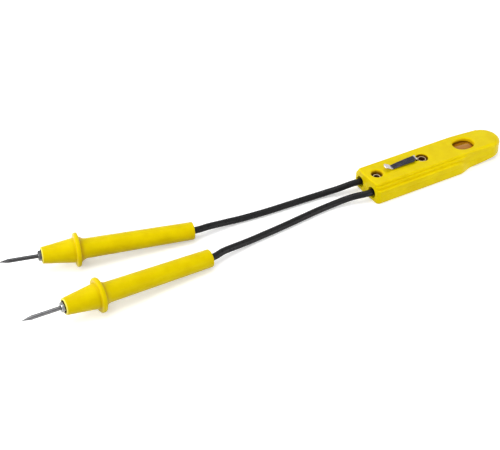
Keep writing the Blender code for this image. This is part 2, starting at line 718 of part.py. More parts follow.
def screw(name, x, seat, material, parent):
    """A pan-head screw with a cross recess, standing in its well."""
    head = SCREW_HEAD_RADIUS
    top = SCREW_HEAD_HEIGHT
    shank = SCREW_SHANK_RADIUS
    tip = SCREW_TIP_HEIGHT - seat
    body = turned(name, [
        (0.0, top), (0.55 * head, top - 0.04 * MM), (0.8 * head, top - 0.18 * MM), (0.94 * head, 0.68 * top),
        (head, 0.42 * top), (head, 0.0), (shank, 0.0), (shank, tip + 1.2 * MM), (0.25 * shank, tip),
        (0.0, tip)], material, parent, steps=24)
    body.location = (x, 0.0, seat)
    for turn, (length, width) in enumerate(((1.25 * head, 0.3 * head), (0.3 * head, 1.25 * head))):
        slot = block(f"{name}_slot_{turn}", (x - length / 2, -width / 2, seat + 0.35 * top),
                     (x + length / 2, width / 2, seat + 2 * top))
        combine(body, make_cutter(slot), "DIFFERENCE")
    return body


def clip_path():
    """Centre line of the bent strip in the XZ plane: tongue, leaf, neck and foot, as (x, z, width)."""
    rest = HOUSING_HEIGHT + GAP + CLIP_THICKNESS / 2
    foot = WELL_SEAT_HEIGHT + GAP + CLIP_THICKNESS / 2
    path = []
    for share in (0.0, 0.12, 0.3):
        x = CLIP_TIP_X + (CLIP_BEND_X - CLIP_TIP_X) * share
        width = CLIP_WIDTH * (0.55, 0.86, 1.0)[len(path)]
        path.append((x, rest + CLIP_TIP_RISE * (1 - share), width))
    path.append((CLIP_BEND_X - 1.0 * MM, rest + 0.55 * MM, CLIP_WIDTH))
    path.append((CLIP_BEND_X - 0.35 * MM, rest + 0.12 * MM, CLIP_WIDTH))
    for i in range(9):
        share = i / 8
        x = CLIP_BEND_X + 0.35 * MM + (CLIP_ROOT_X - CLIP_BEND_X - 0.35 * MM) * share
        rise = CLIP_ROOT_RISE * share + CLIP_BOW * 4 * share * (1 - share)
        path.append((x, rest + rise, CLIP_WIDTH))
    root = rest + CLIP_ROOT_RISE
    well_edge = CLIP_WELL_X - CLIP_WELL_RADIUS
    path.append((CLIP_ROOT_X + 0.25 * MM, root - 0.05 * MM, CLIP_NECK_WIDTH))
    drop_x = well_edge + GAP + CLIP_THICKNESS / 2
    path.append((drop_x - 0.8 * MM, root - 0.6 * MM, CLIP_NECK_WIDTH))
    path.append((drop_x - 0.2 * MM, root - 1.15 * MM, CLIP_NECK_WIDTH))
    path.append((drop_x, root - 1.9 * MM, CLIP_NECK_WIDTH))
    path.append((drop_x, foot + 0.9 * MM, CLIP_NECK_WIDTH))
    path.append((drop_x + 0.25 * MM, foot + 0.25 * MM, CLIP_NECK_WIDTH))
    path.append((drop_x + 0.9 * MM, foot, CLIP_NECK_WIDTH))
    return path


def pocket_clip(material, parent):
    """A leaf of spring steel bent along one strip, whose eye is held under the clip screw."""
    path = clip_path()
    half = CLIP_THICKNESS / 2
    points = []
    for i, (x, z, width) in enumerate(path):
        before = path[max(i - 1, 0)]
        after = path[min(i + 1, len(path) - 1)]
        run = Vector((after[0] - before[0], after[1] - before[1])).normalized()
        across = Vector((-run.y, run.x)) * half
        for side, face in ((-1, -1), (1, -1), (1, 1), (-1, 1)):
            points.append((x + face * across.x, side * width / 2, z + face * across.y))
    faces = [(3, 2, 1, 0)]
    for i in range(len(path) - 1):
        a = 4 * i
        for k in range(4):
            m = (k + 1) % 4
            faces.append((a + k, a + m, a + 4 + m, a + 4 + k))
    last = 4 * (len(path) - 1)
    faces.append((last, last + 1, last + 2, last + 3))
    mesh = bpy.data.meshes.new("pocket_clip")
    mesh.from_pydata(points, [], faces)
    bm = bmesh.new()
    bm.from_mesh(mesh)
    bmesh.ops.recalc_face_normals(bm, faces=bm.faces)
    bm.to_mesh(mesh)
    bm.free()
    smooth(mesh, 30)
    clip = add_object("pocket_clip", mesh, material, parent)
    foot = WELL_SEAT_HEIGHT + GAP
    eye = turned("clip_eye", [
        (0.0, foot + CLIP_THICKNESS + EYE_EXTRA), (CLIP_RING_RADIUS, foot + CLIP_THICKNESS + EYE_EXTRA),
        (CLIP_RING_RADIUS, foot - EYE_EXTRA), (0.0, foot - EYE_EXTRA)], steps=28)
    hole = turned("clip_eye_hole", [
        (0.0, foot + 2 * CLIP_THICKNESS), (SCREW_SHANK_RADIUS + GAP, foot + 2 * CLIP_THICKNESS),
        (SCREW_SHANK_RADIUS + GAP, foot - CLIP_THICKNESS), (0.0, foot - CLIP_THICKNESS)], steps=24)
    for obj, operation in ((eye, "UNION"), (hole, "DIFFERENCE")):
        obj.location.x = CLIP_WELL_X
        combine(clip, make_cutter(obj), operation)
    return clip


def probe_frame(name, guard, yaw):
    """An empty at the centre of the guard's front face, its Z along the probe towards the pin's point.

    The probe lies on the widest circles of its guard and of its rear band.
    """
    middle = GUARD_THICKNESS / 2
    reach = FLARE_LENGTH + GRIP_LENGTH + middle - REAR_BAND
    tilt = math.asin((GUARD_RADIUS - GRIP_REAR_RADIUS) / reach)
    axis = Vector((-math.cos(yaw) * math.cos(tilt), -math.sin(yaw) * math.cos(tilt), math.sin(tilt)))
    height = GUARD_RADIUS * math.cos(tilt) + middle * math.sin(tilt)
    turn = axis.to_track_quat("Z", "Y").to_matrix().to_4x4()
    return new_empty(name, Matrix.Translation((*guard, height)) @ turn)


def handle_profile():
    """Outer side from the nose rim to the rear face, then the bore back up to the nose pocket."""
    half_guard = GUARD_THICKNESS / 2
    profile = [
        (NOSE_POCKET_RADIUS, NOSE_LENGTH), (NOSE_RADIUS - 0.3 * MM, NOSE_LENGTH),
        (NOSE_RADIUS, NOSE_LENGTH - 0.35 * MM), (NOSE_BASE_RADIUS, 0.5 * MM),
        (NOSE_BASE_RADIUS + 0.5 * MM, 0.0), (GUARD_RADIUS - GUARD_RIM, 0.0)]
    for angle in quarter(6)[1:] + [math.pi / 2 + a for a in quarter(6)[1:]]:
        radius = GUARD_RADIUS - GUARD_RIM * (1 - math.sin(angle))
        profile.append((radius, -half_guard * (1 - math.cos(angle))))
    for i in range(7):
        share = i / 6
        profile.append((
            GRIP_FRONT_RADIUS + (FLARE_RADIUS - GRIP_FRONT_RADIUS) * (1 - share) ** 1.8,
            -GUARD_THICKNESS - FLARE_LENGTH * share))
    profile += [
        (GRIP_REAR_RADIUS, HANDLE_REAR + REAR_BAND), (GRIP_REAR_RADIUS - 0.2 * MM, HANDLE_REAR + 0.25 * MM),
        (GRIP_REAR_RADIUS - 0.6 * MM, HANDLE_REAR), (LEAD_RADIUS + GAP, HANDLE_REAR),
        (LEAD_RADIUS + GAP, BARREL_FRONT + GAP),
        (PIN_RADIUS + GAP, BARREL_FRONT + GAP), (PIN_RADIUS + GAP, NOSE_LENGTH - NOSE_POCKET_DEPTH),
        (NOSE_POCKET_RADIUS, NOSE_LENGTH - NOSE_POCKET_DEPTH)]
    return profile


def probe_handle(side, frame, material):
    return turned(f"{side}_probe_handle", handle_profile(), material, frame, steps=32, closed=True)


def probe_pin(side, frame, material):
    """A hardened rod ground to a point; its tail sits in the crimp barrel."""
    end = NOSE_LENGTH + PIN_REACH
    profile = [
        (0.0, end), (0.12 * MM, end - 0.12 * MM), (0.6 * PIN_RADIUS, end - 0.5 * PIN_POINT),
        (PIN_RADIUS, end - PIN_POINT), (PIN_RADIUS, PIN_TAIL + 0.3 * MM), (PIN_RADIUS - 0.3 * MM, PIN_TAIL),
        (0.0, PIN_TAIL)]
    return turned(f"{side}_probe_pin", profile, material, frame, steps=20)


def pin_collar(side, frame, material):
    """A hexagonal collar around the pin, seated in the nose pocket."""
    low = NOSE_LENGTH - NOSE_POCKET_DEPTH + GAP
    top = NOSE_LENGTH + COLLAR_REACH
    bevel = 0.3 * MM
    profile = [
        (PIN_RADIUS + GAP, top), (COLLAR_RADIUS - 2 * bevel, top), (COLLAR_RADIUS, top - bevel),
        (COLLAR_RADIUS, low), (PIN_RADIUS + GAP, low)]
    collar = turned(f"{side}_pin_collar", profile, material, frame, steps=6, closed=True)
    collar.modifiers["turn"].use_smooth_shade = False
    return collar


def crimp_barrel(side, frame, material):
    """The tube that joins the pin's tail to the lead's conductor."""
    low = BARREL_FRONT - BARREL_LENGTH
    profile = [
        (PIN_RADIUS + GAP, BARREL_FRONT), (BARREL_RADIUS, BARREL_FRONT), (BARREL_RADIUS, low),
        (PIN_RADIUS + GAP, low)]
    return turned(f"{side}_crimp_barrel", profile, material, frame, steps=20, closed=True)


def probe_conductor(side, frame, material):
    """The bare end of the lead inside the crimp barrel."""
    low = LEAD_PROBE_END + GAP
    top = PIN_TAIL - GAP
    profile = [(0.0, top), (CONDUCTOR_RADIUS, top), (CONDUCTOR_RADIUS, low), (0.0, low)]
    return turned(f"{side}_probe_conductor", profile, material, frame, steps=12)


def lead(side, y, route, frame, material):
    """One free lead, from its bare end inside the housing, over the floor, to the barrel inside the probe."""
    heights = (HANDLE_REAR - 2.0 * MM, HANDLE_REAR + 12.0 * MM, LEAD_PROBE_END)
    along = [frame.matrix_world @ Vector((0.0, 0.0, height)) for height in heights]
    inner_xs = (LEAD_INNER_END_X, (LEAD_INNER_END_X + CABLE_END_X) / 2, CABLE_END_X - 0.5 * MM)
    points = [(x, y, SEAM_HEIGHT) for x in inner_xs]
    points += [(CABLE_END_X + a * MM, b * MM, c * MM) for a, b, c in route]
    points += [tuple(point) for point in along]
    return tube_between(f"{side}_lead", LEAD_RADIUS, points, material, None, 4.0 * LEAD_RADIUS)


def build():
    yellow = new_material("yellow_plastic", linear(236, 211, 6), 0.42)
    rubber = new_material("black_lead", linear(30, 30, 31), 0.5)
    spring = new_material("clip_steel", linear(120, 120, 128), 0.3, 1.0)
    steel = new_material("screw_steel", linear(150, 146, 140), 0.35, 1.0)
    pin_steel = new_material("pin_steel", linear(185, 185, 188), 0.25, 1.0)
    tin = new_material("tinned_copper", linear(200, 180, 150), 0.35, 1.0)
    lens = new_material("amber_lens", linear(225, 130, 20), 0.15, transmission=0.8)
    glass = new_material("lamp_glass", linear(240, 225, 215), 0.05, transmission=0.9)
    brown = new_material("resistor_body", linear(150, 110, 80), 0.6)

    housing = new_empty("housing")
    rear_shell(yellow, housing)
    front_shell(yellow, housing)
    window_lens(lens, housing)
    neon_lamp(glass, housing)
    lamp_wires(tin, housing)
    resistor(brown, tin, housing)
    splices(tin, tin, housing)
    screw("shell_screw", SHELL_WELL_X, WELL_SEAT_HEIGHT + GAP, steel, housing)
    screw("clip_screw", CLIP_WELL_X, WELL_SEAT_HEIGHT + 2 * GAP + CLIP_THICKNESS, steel, housing)
    pocket_clip(spring, housing)

    probes = (
        ("far", FAR_GUARD, FAR_YAW, LEAD_SPACING, FAR_ROUTE),
        ("near", NEAR_GUARD, NEAR_YAW, -LEAD_SPACING, NEAR_ROUTE))
    for side, guard, yaw, y, route in probes:
        frame = probe_frame(f"{side}_probe", guard, yaw)
        bpy.context.view_layer.update()
        probe_handle(side, frame, yellow)
        probe_pin(side, frame, pin_steel)
        pin_collar(side, frame, pin_steel)
        crimp_barrel(side, frame, tin)
        probe_conductor(side, frame, tin)
        lead(side, y, route, frame, rubber)


clear_scene()
PARTS = new_collection("voltage_tester")
CUTTERS = new_collection("cutters")
build()
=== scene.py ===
"""Looks of the two-probe voltage tester: fine shells, handles, pins, clip, leads and window, with their materials.

Each piece stands where its CAD solid stands, in metres. X runs along the housing towards its round tip and Z up,
and the origin is the centre of the housing's underside. The main sizes repeat those of the part's source.
"""

from math import asin, copysign, cos, pi, radians, sin, sqrt, tan

import bmesh
import bpy
from mathutils import Matrix, Vector


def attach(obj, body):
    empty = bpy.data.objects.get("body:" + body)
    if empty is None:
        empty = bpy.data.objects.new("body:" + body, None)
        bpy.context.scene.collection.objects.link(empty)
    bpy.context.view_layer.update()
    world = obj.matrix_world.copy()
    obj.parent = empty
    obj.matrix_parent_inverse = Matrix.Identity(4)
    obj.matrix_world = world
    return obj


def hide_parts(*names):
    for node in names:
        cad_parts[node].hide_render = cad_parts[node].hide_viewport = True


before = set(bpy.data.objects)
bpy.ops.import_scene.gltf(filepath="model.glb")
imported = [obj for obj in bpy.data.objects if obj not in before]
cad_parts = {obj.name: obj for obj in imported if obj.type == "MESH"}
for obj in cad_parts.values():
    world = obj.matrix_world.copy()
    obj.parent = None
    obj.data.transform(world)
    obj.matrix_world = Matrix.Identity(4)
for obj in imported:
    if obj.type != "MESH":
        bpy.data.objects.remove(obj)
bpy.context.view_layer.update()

MM = 0.001
GAP = 0.3 * MM
CUT = "DIFFERENCE"
JOIN = "UNION"

# Housing
LENGTH = 87.5 * MM
TOP_Z = 11.4 * MM
END_X = -LENGTH / 2
TIP_X = LENGTH / 2
TIP_DROP = 0.9 * MM
TIP_LIFT = 3.0 * MM
PLATEAU_HALF = 8.6 * MM
LEDGE_HALF = 9.6 * MM
LEDGE_HEIGHT = 9.9 * MM
SKIRT_HALF = 11.0 * MM
SKIRT_HEIGHT = 8.1 * MM
TIP_HALF = 8.3 * MM
TIP_ROUND = 8.8 * MM
NECK_END = TIP_X - 27.75 * MM
NECK_REACH = 13.6 * MM
NECK_RUN = 10.0 * MM
SKIRT_FALL = 8.4 * MM
SKIRT_EDGE = 0.58 * MM
LEDGE_FALL = 2.4 * MM
LEDGE_EDGE = 0.5 * MM
LEDGE_SLOPE = 0.08 * MM
DRAFT = 0.15 * MM
END_SAGITTA = 0.4 * MM
BOTTOM_EDGE = 0.9 * MM
CREST_EDGE = 0.6 * MM
TIP_CREST_EDGE = 2.8 * MM
TIP_DROP_CURVE = 1.5
TIP_CREST_CURVE = 1.2
TIP_LIFT_CURVE = 2.2
WALL = 1.8 * MM
FLOOR = 1.6 * MM
SEAM_HEIGHT = 4.85 * MM
SEAM_GAP = 0.05 * MM
SEAM_EDGE = 0.1 * MM
CUT_TOP = TOP_Z + 1.0 * MM

# The housing's three layers, and (low, top, reach back) of the two shoulders at the neck
LAYER_HALF = {"skirt": SKIRT_HALF, "ledge": LEDGE_HALF, "plateau": PLATEAU_HALF}
LAYER_CORNER = {"skirt": 2.0 * MM, "ledge": 1.7 * MM, "plateau": 1.0 * MM}
SHOULDERS = {
    "skirt": (0.0, SKIRT_HEIGHT, SKIRT_FALL),
    "ledge": (SKIRT_HEIGHT, LEDGE_HEIGHT, LEDGE_FALL),
}
# Places along X where the outline has a point between the cable end and the round of the tip
STATIONS = [END_X + 3.0 * MM + 2.0 * MM * i for i in range(21)]
STATIONS += [NECK_END - NECK_REACH + 0.3 * MM * i for i in range(45)]
STATIONS += [NECK_END - 0.3 * MM, NECK_END - 0.15 * MM, NECK_END - 0.05 * MM, NECK_END]
STATIONS += [NECK_END + 1.0 * MM * i for i in range(1, 18)]
STATIONS.append(TIP_X - TIP_ROUND)

# Screws, clip, window, lamp
CLIP_WELL_X = -8.0 * MM
CLIP_WELL_RADIUS = 3.35 * MM
CLIP_WELL_MOUTH = 0.2 * MM
SHELL_WELL_X = END_X + 6.55 * MM
SHELL_WELL_RADIUS = 3.0 * MM
SHELL_WELL_MOUTH = 1.0 * MM
WELL_WALL = 0.9 * MM
WELL_PLATE = 1.1 * MM
SEAT_Z = 7.0 * MM
WELL_FOOT_RADIUS = 3.4 * MM
WELL_MOUTH_DROP = 0.03 * MM
SHELL_SCREW_HEAD = 2.2 * MM
SHELL_SCREW_DISH = 1.6 * MM
SHELL_SCREW_TOP = 2.0 * MM
# Shell screw: steel whose warm tint is a painted reflection of the yellow well walls
SHELL_SCREW_REFLECTED_TONE = (0.80, 0.66, 0.44)
CLIP_SCREW_HEAD = 2.5 * MM
CLIP_SCREW_DISH = 1.85 * MM
CLIP_SCREW_TOP = 2.5 * MM
# Clip screw: the same steel with the painted warm reflection, darker as painted shade
CLIP_SCREW_REFLECTED_SHADED_TONE = (0.55, 0.41, 0.21)
SHANK_RADIUS = 1.1 * MM
SCREW_TIP_HEIGHT = 2.4 * MM
THREAD_TOP = -1.2 * MM
THREAD_PITCH = 0.7 * MM
THREAD_CORE = 0.78
RECESS_TURN = 0.35
CLIP_DEPTH = 0.5 * MM
CLIP_EDGE = 0.14 * MM
CLIP_WIDTH = 3.5 * MM
CLIP_ROOT_WIDTH = 4.5 * MM
CLIP_NECK_WIDTH = 2.0 * MM
CLIP_ROOT_X = CLIP_WELL_X - 5.2 * MM
CLIP_BEND_X = CLIP_ROOT_X - 14.8 * MM
CLIP_TIP_X = CLIP_BEND_X - 4.5 * MM
CLIP_ROOT_RISE = 0.7 * MM
CLIP_BOW = 0.15 * MM
CLIP_TIP_RISE = 2.5 * MM
CLIP_RING_RADIUS = 2.85 * MM
CLIP_NOTCH_DEPTH = 0.9 * MM
CLIP_TIP_SLANT = 0.3
CLIP_ROOT_SLANT = 0.75
WINDOW_X = NECK_END + 4.05 * MM
WINDOW_HALF_LENGTH = 6.2 * MM
WINDOW_HALF_WIDTH = 4.8 * MM
WINDOW_SQUARENESS = 2.3
WINDOW_MOUTH = 1.1 * MM
WINDOW_MOUTH_DROP = 0.06 * MM
LENS_FLANGE = 0.9 * MM
LENS_FLANGE_HEIGHT = 0.8 * MM
LENS_RISE = 1.2 * MM
LENS_RIDGE_HALF = 2.6 * MM
LENS_EDGE = 0.1 * MM
LENS_CEILING = TOP_Z - TIP_DROP - WALL - GAP
LAMP_RADIUS = 2.5 * MM
LAMP_LENGTH = 12.0 * MM
LAMP_WALL = 0.45 * MM
LAMP_HEIGHT = LENS_CEILING - LENS_FLANGE_HEIGHT - 0.4 * MM - LAMP_RADIUS
LAMP_REAR_X = WINDOW_X - LAMP_LENGTH / 2
ELECTRODE_RADIUS = 0.42 * MM
ELECTRODE_SPACING = 0.75 * MM
ELECTRODE_FOOT = 2.6 * MM
ELECTRODE_TOP = LAMP_LENGTH - 2.8 * MM

# Leads and probes
LEAD_RADIUS = 1.75 * MM
LEAD_SPACING = 5.45 * MM
HOLE_RADIUS = 2.9 * MM
HOLE_DEPTH = WALL + 0.4 * MM
HOLE_MOUTH = 0.3 * MM
LEAD_INNER_END_X = -21.0 * MM
PIN_RADIUS = 1.02 * MM
PIN_REACH = 20.0 * MM
PIN_POINT = 4.5 * MM
NOSE_RADIUS = 4.0 * MM
NOSE_LENGTH = 15.9 * MM
CONE_RADIUS = 6.1 * MM
POCKET_RADIUS = 3.1 * MM
POCKET_DEPTH = 2.2 * MM
GUARD_RADIUS = 8.4 * MM
GUARD_DEPTH = 2.1 * MM
FLARE_LENGTH = 3.6 * MM
FLARE_RADIUS = 6.8 * MM
FLARE_CURVE = 1.8
GRIP_FRONT_RADIUS = 4.95 * MM
GRIP_REAR_RADIUS = 4.5 * MM
GRIP_LENGTH = 53.5 * MM
REAR_BAND = 0.9 * MM
HANDLE_REAR = -GUARD_DEPTH - FLARE_LENGTH - GRIP_LENGTH
COLLAR_RADIUS = 2.6 * MM
COLLAR_REACH = 1.6 * MM
COLLAR_FACE = 0.93
COLLAR_CORNER = 0.985
COLLAR_SINK_WIDTH = 0.42 * MM
COLLAR_SINK_DEPTH = 0.35 * MM
BARREL_LENGTH = 12.0 * MM
BARREL_FRONT = 0.0 * MM
PIN_TAIL = BARREL_FRONT - 0.4 * BARREL_LENGTH
LEAD_PROBE_END = BARREL_FRONT - BARREL_LENGTH - 1.2 * MM

FAR_GUARD = (END_X - 153.45 * MM, 22.6 * MM)
FAR_YAW = radians(-9.9)
NEAR_GUARD = (END_X - 156.35 * MM, -12.3 * MM)
NEAR_YAW = radians(2.1)

# The leads' free routes in millimetres, x from the cable end
FAR_ROUTE = [
    (-3.75, 5.9, 4.75), (-8.25, 6.6, 4.1), (-12.75, 7.4, 3.25), (-17.25, 8.5, 2.45), (-22.25, 9.3, 1.9),
    (-28.25, 9.7, 1.8), (-36.25, 10.0, 1.8), (-44.75, 10.3, 1.8), (-54.25, 10.7, 1.8), (-63.25, 11.4, 1.8),
    (-69.25, 12.0, 1.85), (-75.25, 12.3, 2.35), (-81.25, 12.3, 3.1), (-87.25, 12.2, 3.9),
]
NEAR_ROUTE = [
    (-3.75, -4.9, 4.7), (-8.75, -3.2, 4.0), (-13.25, -2.0, 3.15), (-17.75, -1.3, 2.35), (-22.75, -1.05, 1.85),
    (-30.25, -1.5, 1.8), (-38.25, -2.3, 1.8), (-48.25, -3.4, 1.8), (-58.25, -4.35, 1.8), (-66.25, -5.0, 1.8),
    (-72.25, -5.55, 1.9), (-77.75, -6.3, 2.4), (-83.25, -7.2, 3.15), (-89.25, -8.35, 3.95),
]

# Camera
CAMERA_AZIMUTH = radians(-29.15)
CAMERA_ELEVATION = radians(39.34)
CAMERA_DISTANCE = 496.12 * MM
CAMERA_TARGET = Vector((-109.41 * MM, 7.15 * MM, 0.0))
CAMERA_LENS = 70.21

# Studio: the table, the world's light on the object, and (name, place, target, size, watts, height if it differs)
TABLE_HALF = 1.6
TABLE_Z = -0.03 * MM
WORLD_LIGHT = 0.35
LIGHTS = [
    ("key", (-0.25, 0.2, 1.08), (-0.1, 0.0, 0.0), 1.0, 7.4),
    ("fill", (-0.8, -0.9, 0.55), (-0.1, 0.0, 0.0), 0.7, 4.4),
    ("side", (0.24, -0.30, 0.12), (0.01, 0.0, 0.0), 0.2, 0.5),
    ("end", (-0.70, 0.05, 0.25), (-0.04, 0.0, 0.0), 0.3, 1.5),
    ("back", (-0.45, 0.55, 0.25), (-0.04, 0.0, 0.0), 0.3, 1.3),
    ("glint", (0.18, -0.73, 0.07), (-0.17, -0.015, 0.01), 0.28, 0.9, 0.12),
]

# Colours that several stops of one look share
# Painted shade down the screw wells: orange at the lip, brown deeper down
WELL_SHADE_ORANGE = (0.55, 0.29, 0.002)
WELL_SHADE_BROWN = (0.13, 0.05, 0.002)
# Painted amber shade down the window's wall
WINDOW_WALL_SHADE = (0.62, 0.30, 0.002)
# Painted shade in the handle's creases beside the guard
CREASE_PAINTED_SHADE = (0.42, 0.22, 0.002)
# Painted highlight on the nose's rounded rim
NOSE_RIM_HIGHLIGHT = (0.90, 0.82, 0.18)
# Painted shade in the nose pocket round the collar
POCKET_SHADE = (0.035, 0.02, 0.002)
# Painted shade in the screw heads' dish and cross recess
RECESS_SHADE = (0.03, 0.009, 0.004)


class Nodes:
    """A node tree and short ways to build it."""

    def __init__(self, tree):
        self.tree = tree

    def plug(self, socket, value):
        """Links an output to a socket or sets its value; a colour may go without its alpha."""
        if isinstance(value, bpy.types.NodeSocket):
            self.tree.links.new(value, socket)
        elif isinstance(value, tuple) and len(value) == 3 and len(socket.default_value) == 4:
            socket.default_value = (*value, 1.0)
        else:
            socket.default_value = value

    def node(self, kind, inputs=None, **settings):
        made = self.tree.nodes.new(f"ShaderNode{kind}")
        for key, value in settings.items():
            setattr(made, key, value)
        for key, value in (inputs or {}).items():
            self.plug(made.inputs[key], value)
        return made

    def calculate(self, operation, first, second):
        return self.node("Math", {0: first, 1: second}, operation=operation).outputs[0]

    def seen(self):
        """1 for camera, glossy and transmission rays, which see the white studio, and 0 for rays of light."""
        rays = self.node("LightPath").outputs
        seen = self.calculate("MAXIMUM", rays["Is Camera Ray"], rays["Is Glossy Ray"])
        return self.calculate("MAXIMUM", seen, rays["Is Transmission Ray"])


class Shading(Nodes):
    """A material and short ways to build its nodes, in the object's space or in that of a matrix in it."""

    def __init__(self, name, matrix=None):
        self.material = bpy.data.materials.new(name)
        self.material.use_nodes = True
        super().__init__(self.material.node_tree)
        self.shader = self.tree.nodes["Principled BSDF"]
        self.place = self.node("TexCoord").outputs["Object"]
        if matrix:
            inputs = {"Vector": self.place, "Location": matrix.translation, "Rotation": matrix.to_euler()}
            self.place = self.node("Mapping", inputs, vector_type="TEXTURE").outputs["Vector"]

    def stretched(self, x, y, z):
        """Object coordinates scaled per axis: a larger number gives finer detail along that axis."""
        inputs = {"Vector": self.place, "Scale": (x, y, z)}
        return self.node("Mapping", inputs).outputs["Vector"]

    def noise(self, scale, detail=3.0, roughness=0.5, distortion=0.0, vector=None):
        inputs = {
            "Vector": vector or self.place, "Scale": scale, "Detail": detail,
            "Roughness": roughness, "Distortion": distortion}
        return self.node("TexNoise", inputs).outputs["Fac"]

    def spots(self, scale):
        return self.node("TexVoronoi", {"Vector": self.place, "Scale": scale}).outputs["Distance"]

    def ramp(self, value, *stops):
        """A colour or a grey level from (position, colour or level) stops."""
        made = self.node("ValToRGB", {"Fac": value})
        elements = made.color_ramp.elements
        while len(elements) < len(stops):
            elements.new(1.0)
        for element, (position, colour) in zip(elements, stops):
            element.position = position
            element.color = (*colour, 1.0) if isinstance(colour, tuple) else (colour, colour, colour, 1.0)
        return made.outputs["Color"]

    def mix(self, factor, first, second):
        return self.node("Mix", {0: factor, 6: first, 7: second}, data_type="RGBA").outputs[2]

    def axis(self, name):
        return self.node("SeparateXYZ", {"Vector": self.place}).outputs[name]

    def reach(self, x, y, length=1.0, width=1.0):
        """Distance from an upright axis, measured in the two given units."""
        flat = self.stretched(1 / length, 1 / width, 0.0)
        inputs = {0: flat, 1: (x / length, y / width, 0.0)}
        return self.node("VectorMath", inputs, operation="DISTANCE").outputs["Value"]

    def fade(self, value, start, end):
        """0 where the value is start and 1 where it is end, and held beyond them."""
        inputs = {"Value": value, "From Min": start, "From Max": end}
        return self.node("MapRange", inputs).outputs["Result"]

    def product(self, first, *others):
        for other in others:
            first = self.calculate("MULTIPLY", first, other)
        return first

    def bump(self, height, strength, distance, normal=None):
        inputs = {"Height": height, "Strength": strength, "Distance": distance}
        if normal:
            inputs["Normal"] = normal
        return self.node("Bump", inputs).outputs["Normal"]

    def set(self, **sockets):
        """Values or links for the shader's sockets, with _ for a space."""
        for key, value in sockets.items():
            self.plug(self.shader.inputs[key.replace("_", " ")], value)
        return self.material


def housing_painted_shade(s, colour):
    """Painted shade: an orange lip and brown deeper down the screw wells, and painted amber shade down the window's
    wall.
    """
    height = s.axis("Z")
    above = s.fade(height, TOP_Z - 7.0 * MM, TOP_Z - 6.0 * MM)
    patches = s.ramp(s.noise(900.0, 4.0, 0.6), (0.3, 0.8), (0.6, 1.0))
    for x, radius, lip, depth in (
            (CLIP_WELL_X, CLIP_WELL_RADIUS, 0.3 * MM, 0.7 * MM),
            (SHELL_WELL_X, SHELL_WELL_RADIUS, 1.3 * MM, 1.9 * MM)):
        inside = s.product(above, s.fade(s.reach(x, 0.0), radius + lip, radius + 0.5 * lip))
        start = s.fade(height, TOP_Z, TOP_Z - 0.4 * depth)
        # painted shade: orange at the well's lip
        colour = s.mix(s.product(inside, start, 0.75), colour, WELL_SHADE_ORANGE)
        # painted shade: brown deeper down the well, in patches
        down = s.product(s.fade(height, TOP_Z - 0.25 * depth, TOP_Z - depth), patches)
        colour = s.mix(s.product(inside, down, 0.93), colour, WELL_SHADE_BROWN)
    # painted amber shade down the window's wall
    inside = s.product(above, s.fade(s.reach(WINDOW_X, 0.0, WINDOW_HALF_LENGTH, WINDOW_HALF_WIDTH), 1.25, 1.15))
    down = s.fade(height, TOP_Z - 0.4 * MM, TOP_Z - 3.4 * MM)
    return s.mix(s.product(inside, down), colour, WINDOW_WALL_SHADE)


def handle_painted_light(s, colour):
    """Painted brown shade in the handle's creases beside the guard, a painted highlight on the nose rim and painted
    shade in the pocket in it.
    """
    height = s.axis("Z")
    radius = s.reach(0.0, 0.0)
    for place, behind, ahead, share in (
            (0.1 * MM, 0.3 * MM, 1.4 * MM, 0.3), (-GUARD_DEPTH + 0.1 * MM, 2.2 * MM, 0.5 * MM, 0.8)):
        # painted shade in the crease
        near = s.product(s.fade(height, place - behind, place), s.fade(height, place + ahead, place))
        low = s.fade(radius, CONE_RADIUS + 1.9 * MM, CONE_RADIUS + 0.9 * MM)
        colour = s.mix(s.product(near, low, share), colour, CREASE_PAINTED_SHADE)
    # painted highlight along the nose's rounded rim
    rim_highlight = s.product(s.fade(height, NOSE_LENGTH - 0.6 * MM, NOSE_LENGTH - 0.25 * MM),
                 s.fade(radius, NOSE_RADIUS - 0.6 * MM, NOSE_RADIUS - 0.4 * MM))
    colour = s.mix(s.product(rim_highlight, 0.8), colour, NOSE_RIM_HIGHLIGHT)
    # painted shade in the nose pocket
    pocket_shade = s.product(
        s.fade(radius, POCKET_RADIUS + 0.16 * MM, POCKET_RADIUS + 0.06 * MM),
        s.fade(height, NOSE_LENGTH - POCKET_DEPTH - 0.3 * MM, NOSE_LENGTH - POCKET_DEPTH - 0.1 * MM))
    return s.mix(pocket_shade, colour, POCKET_SHADE)


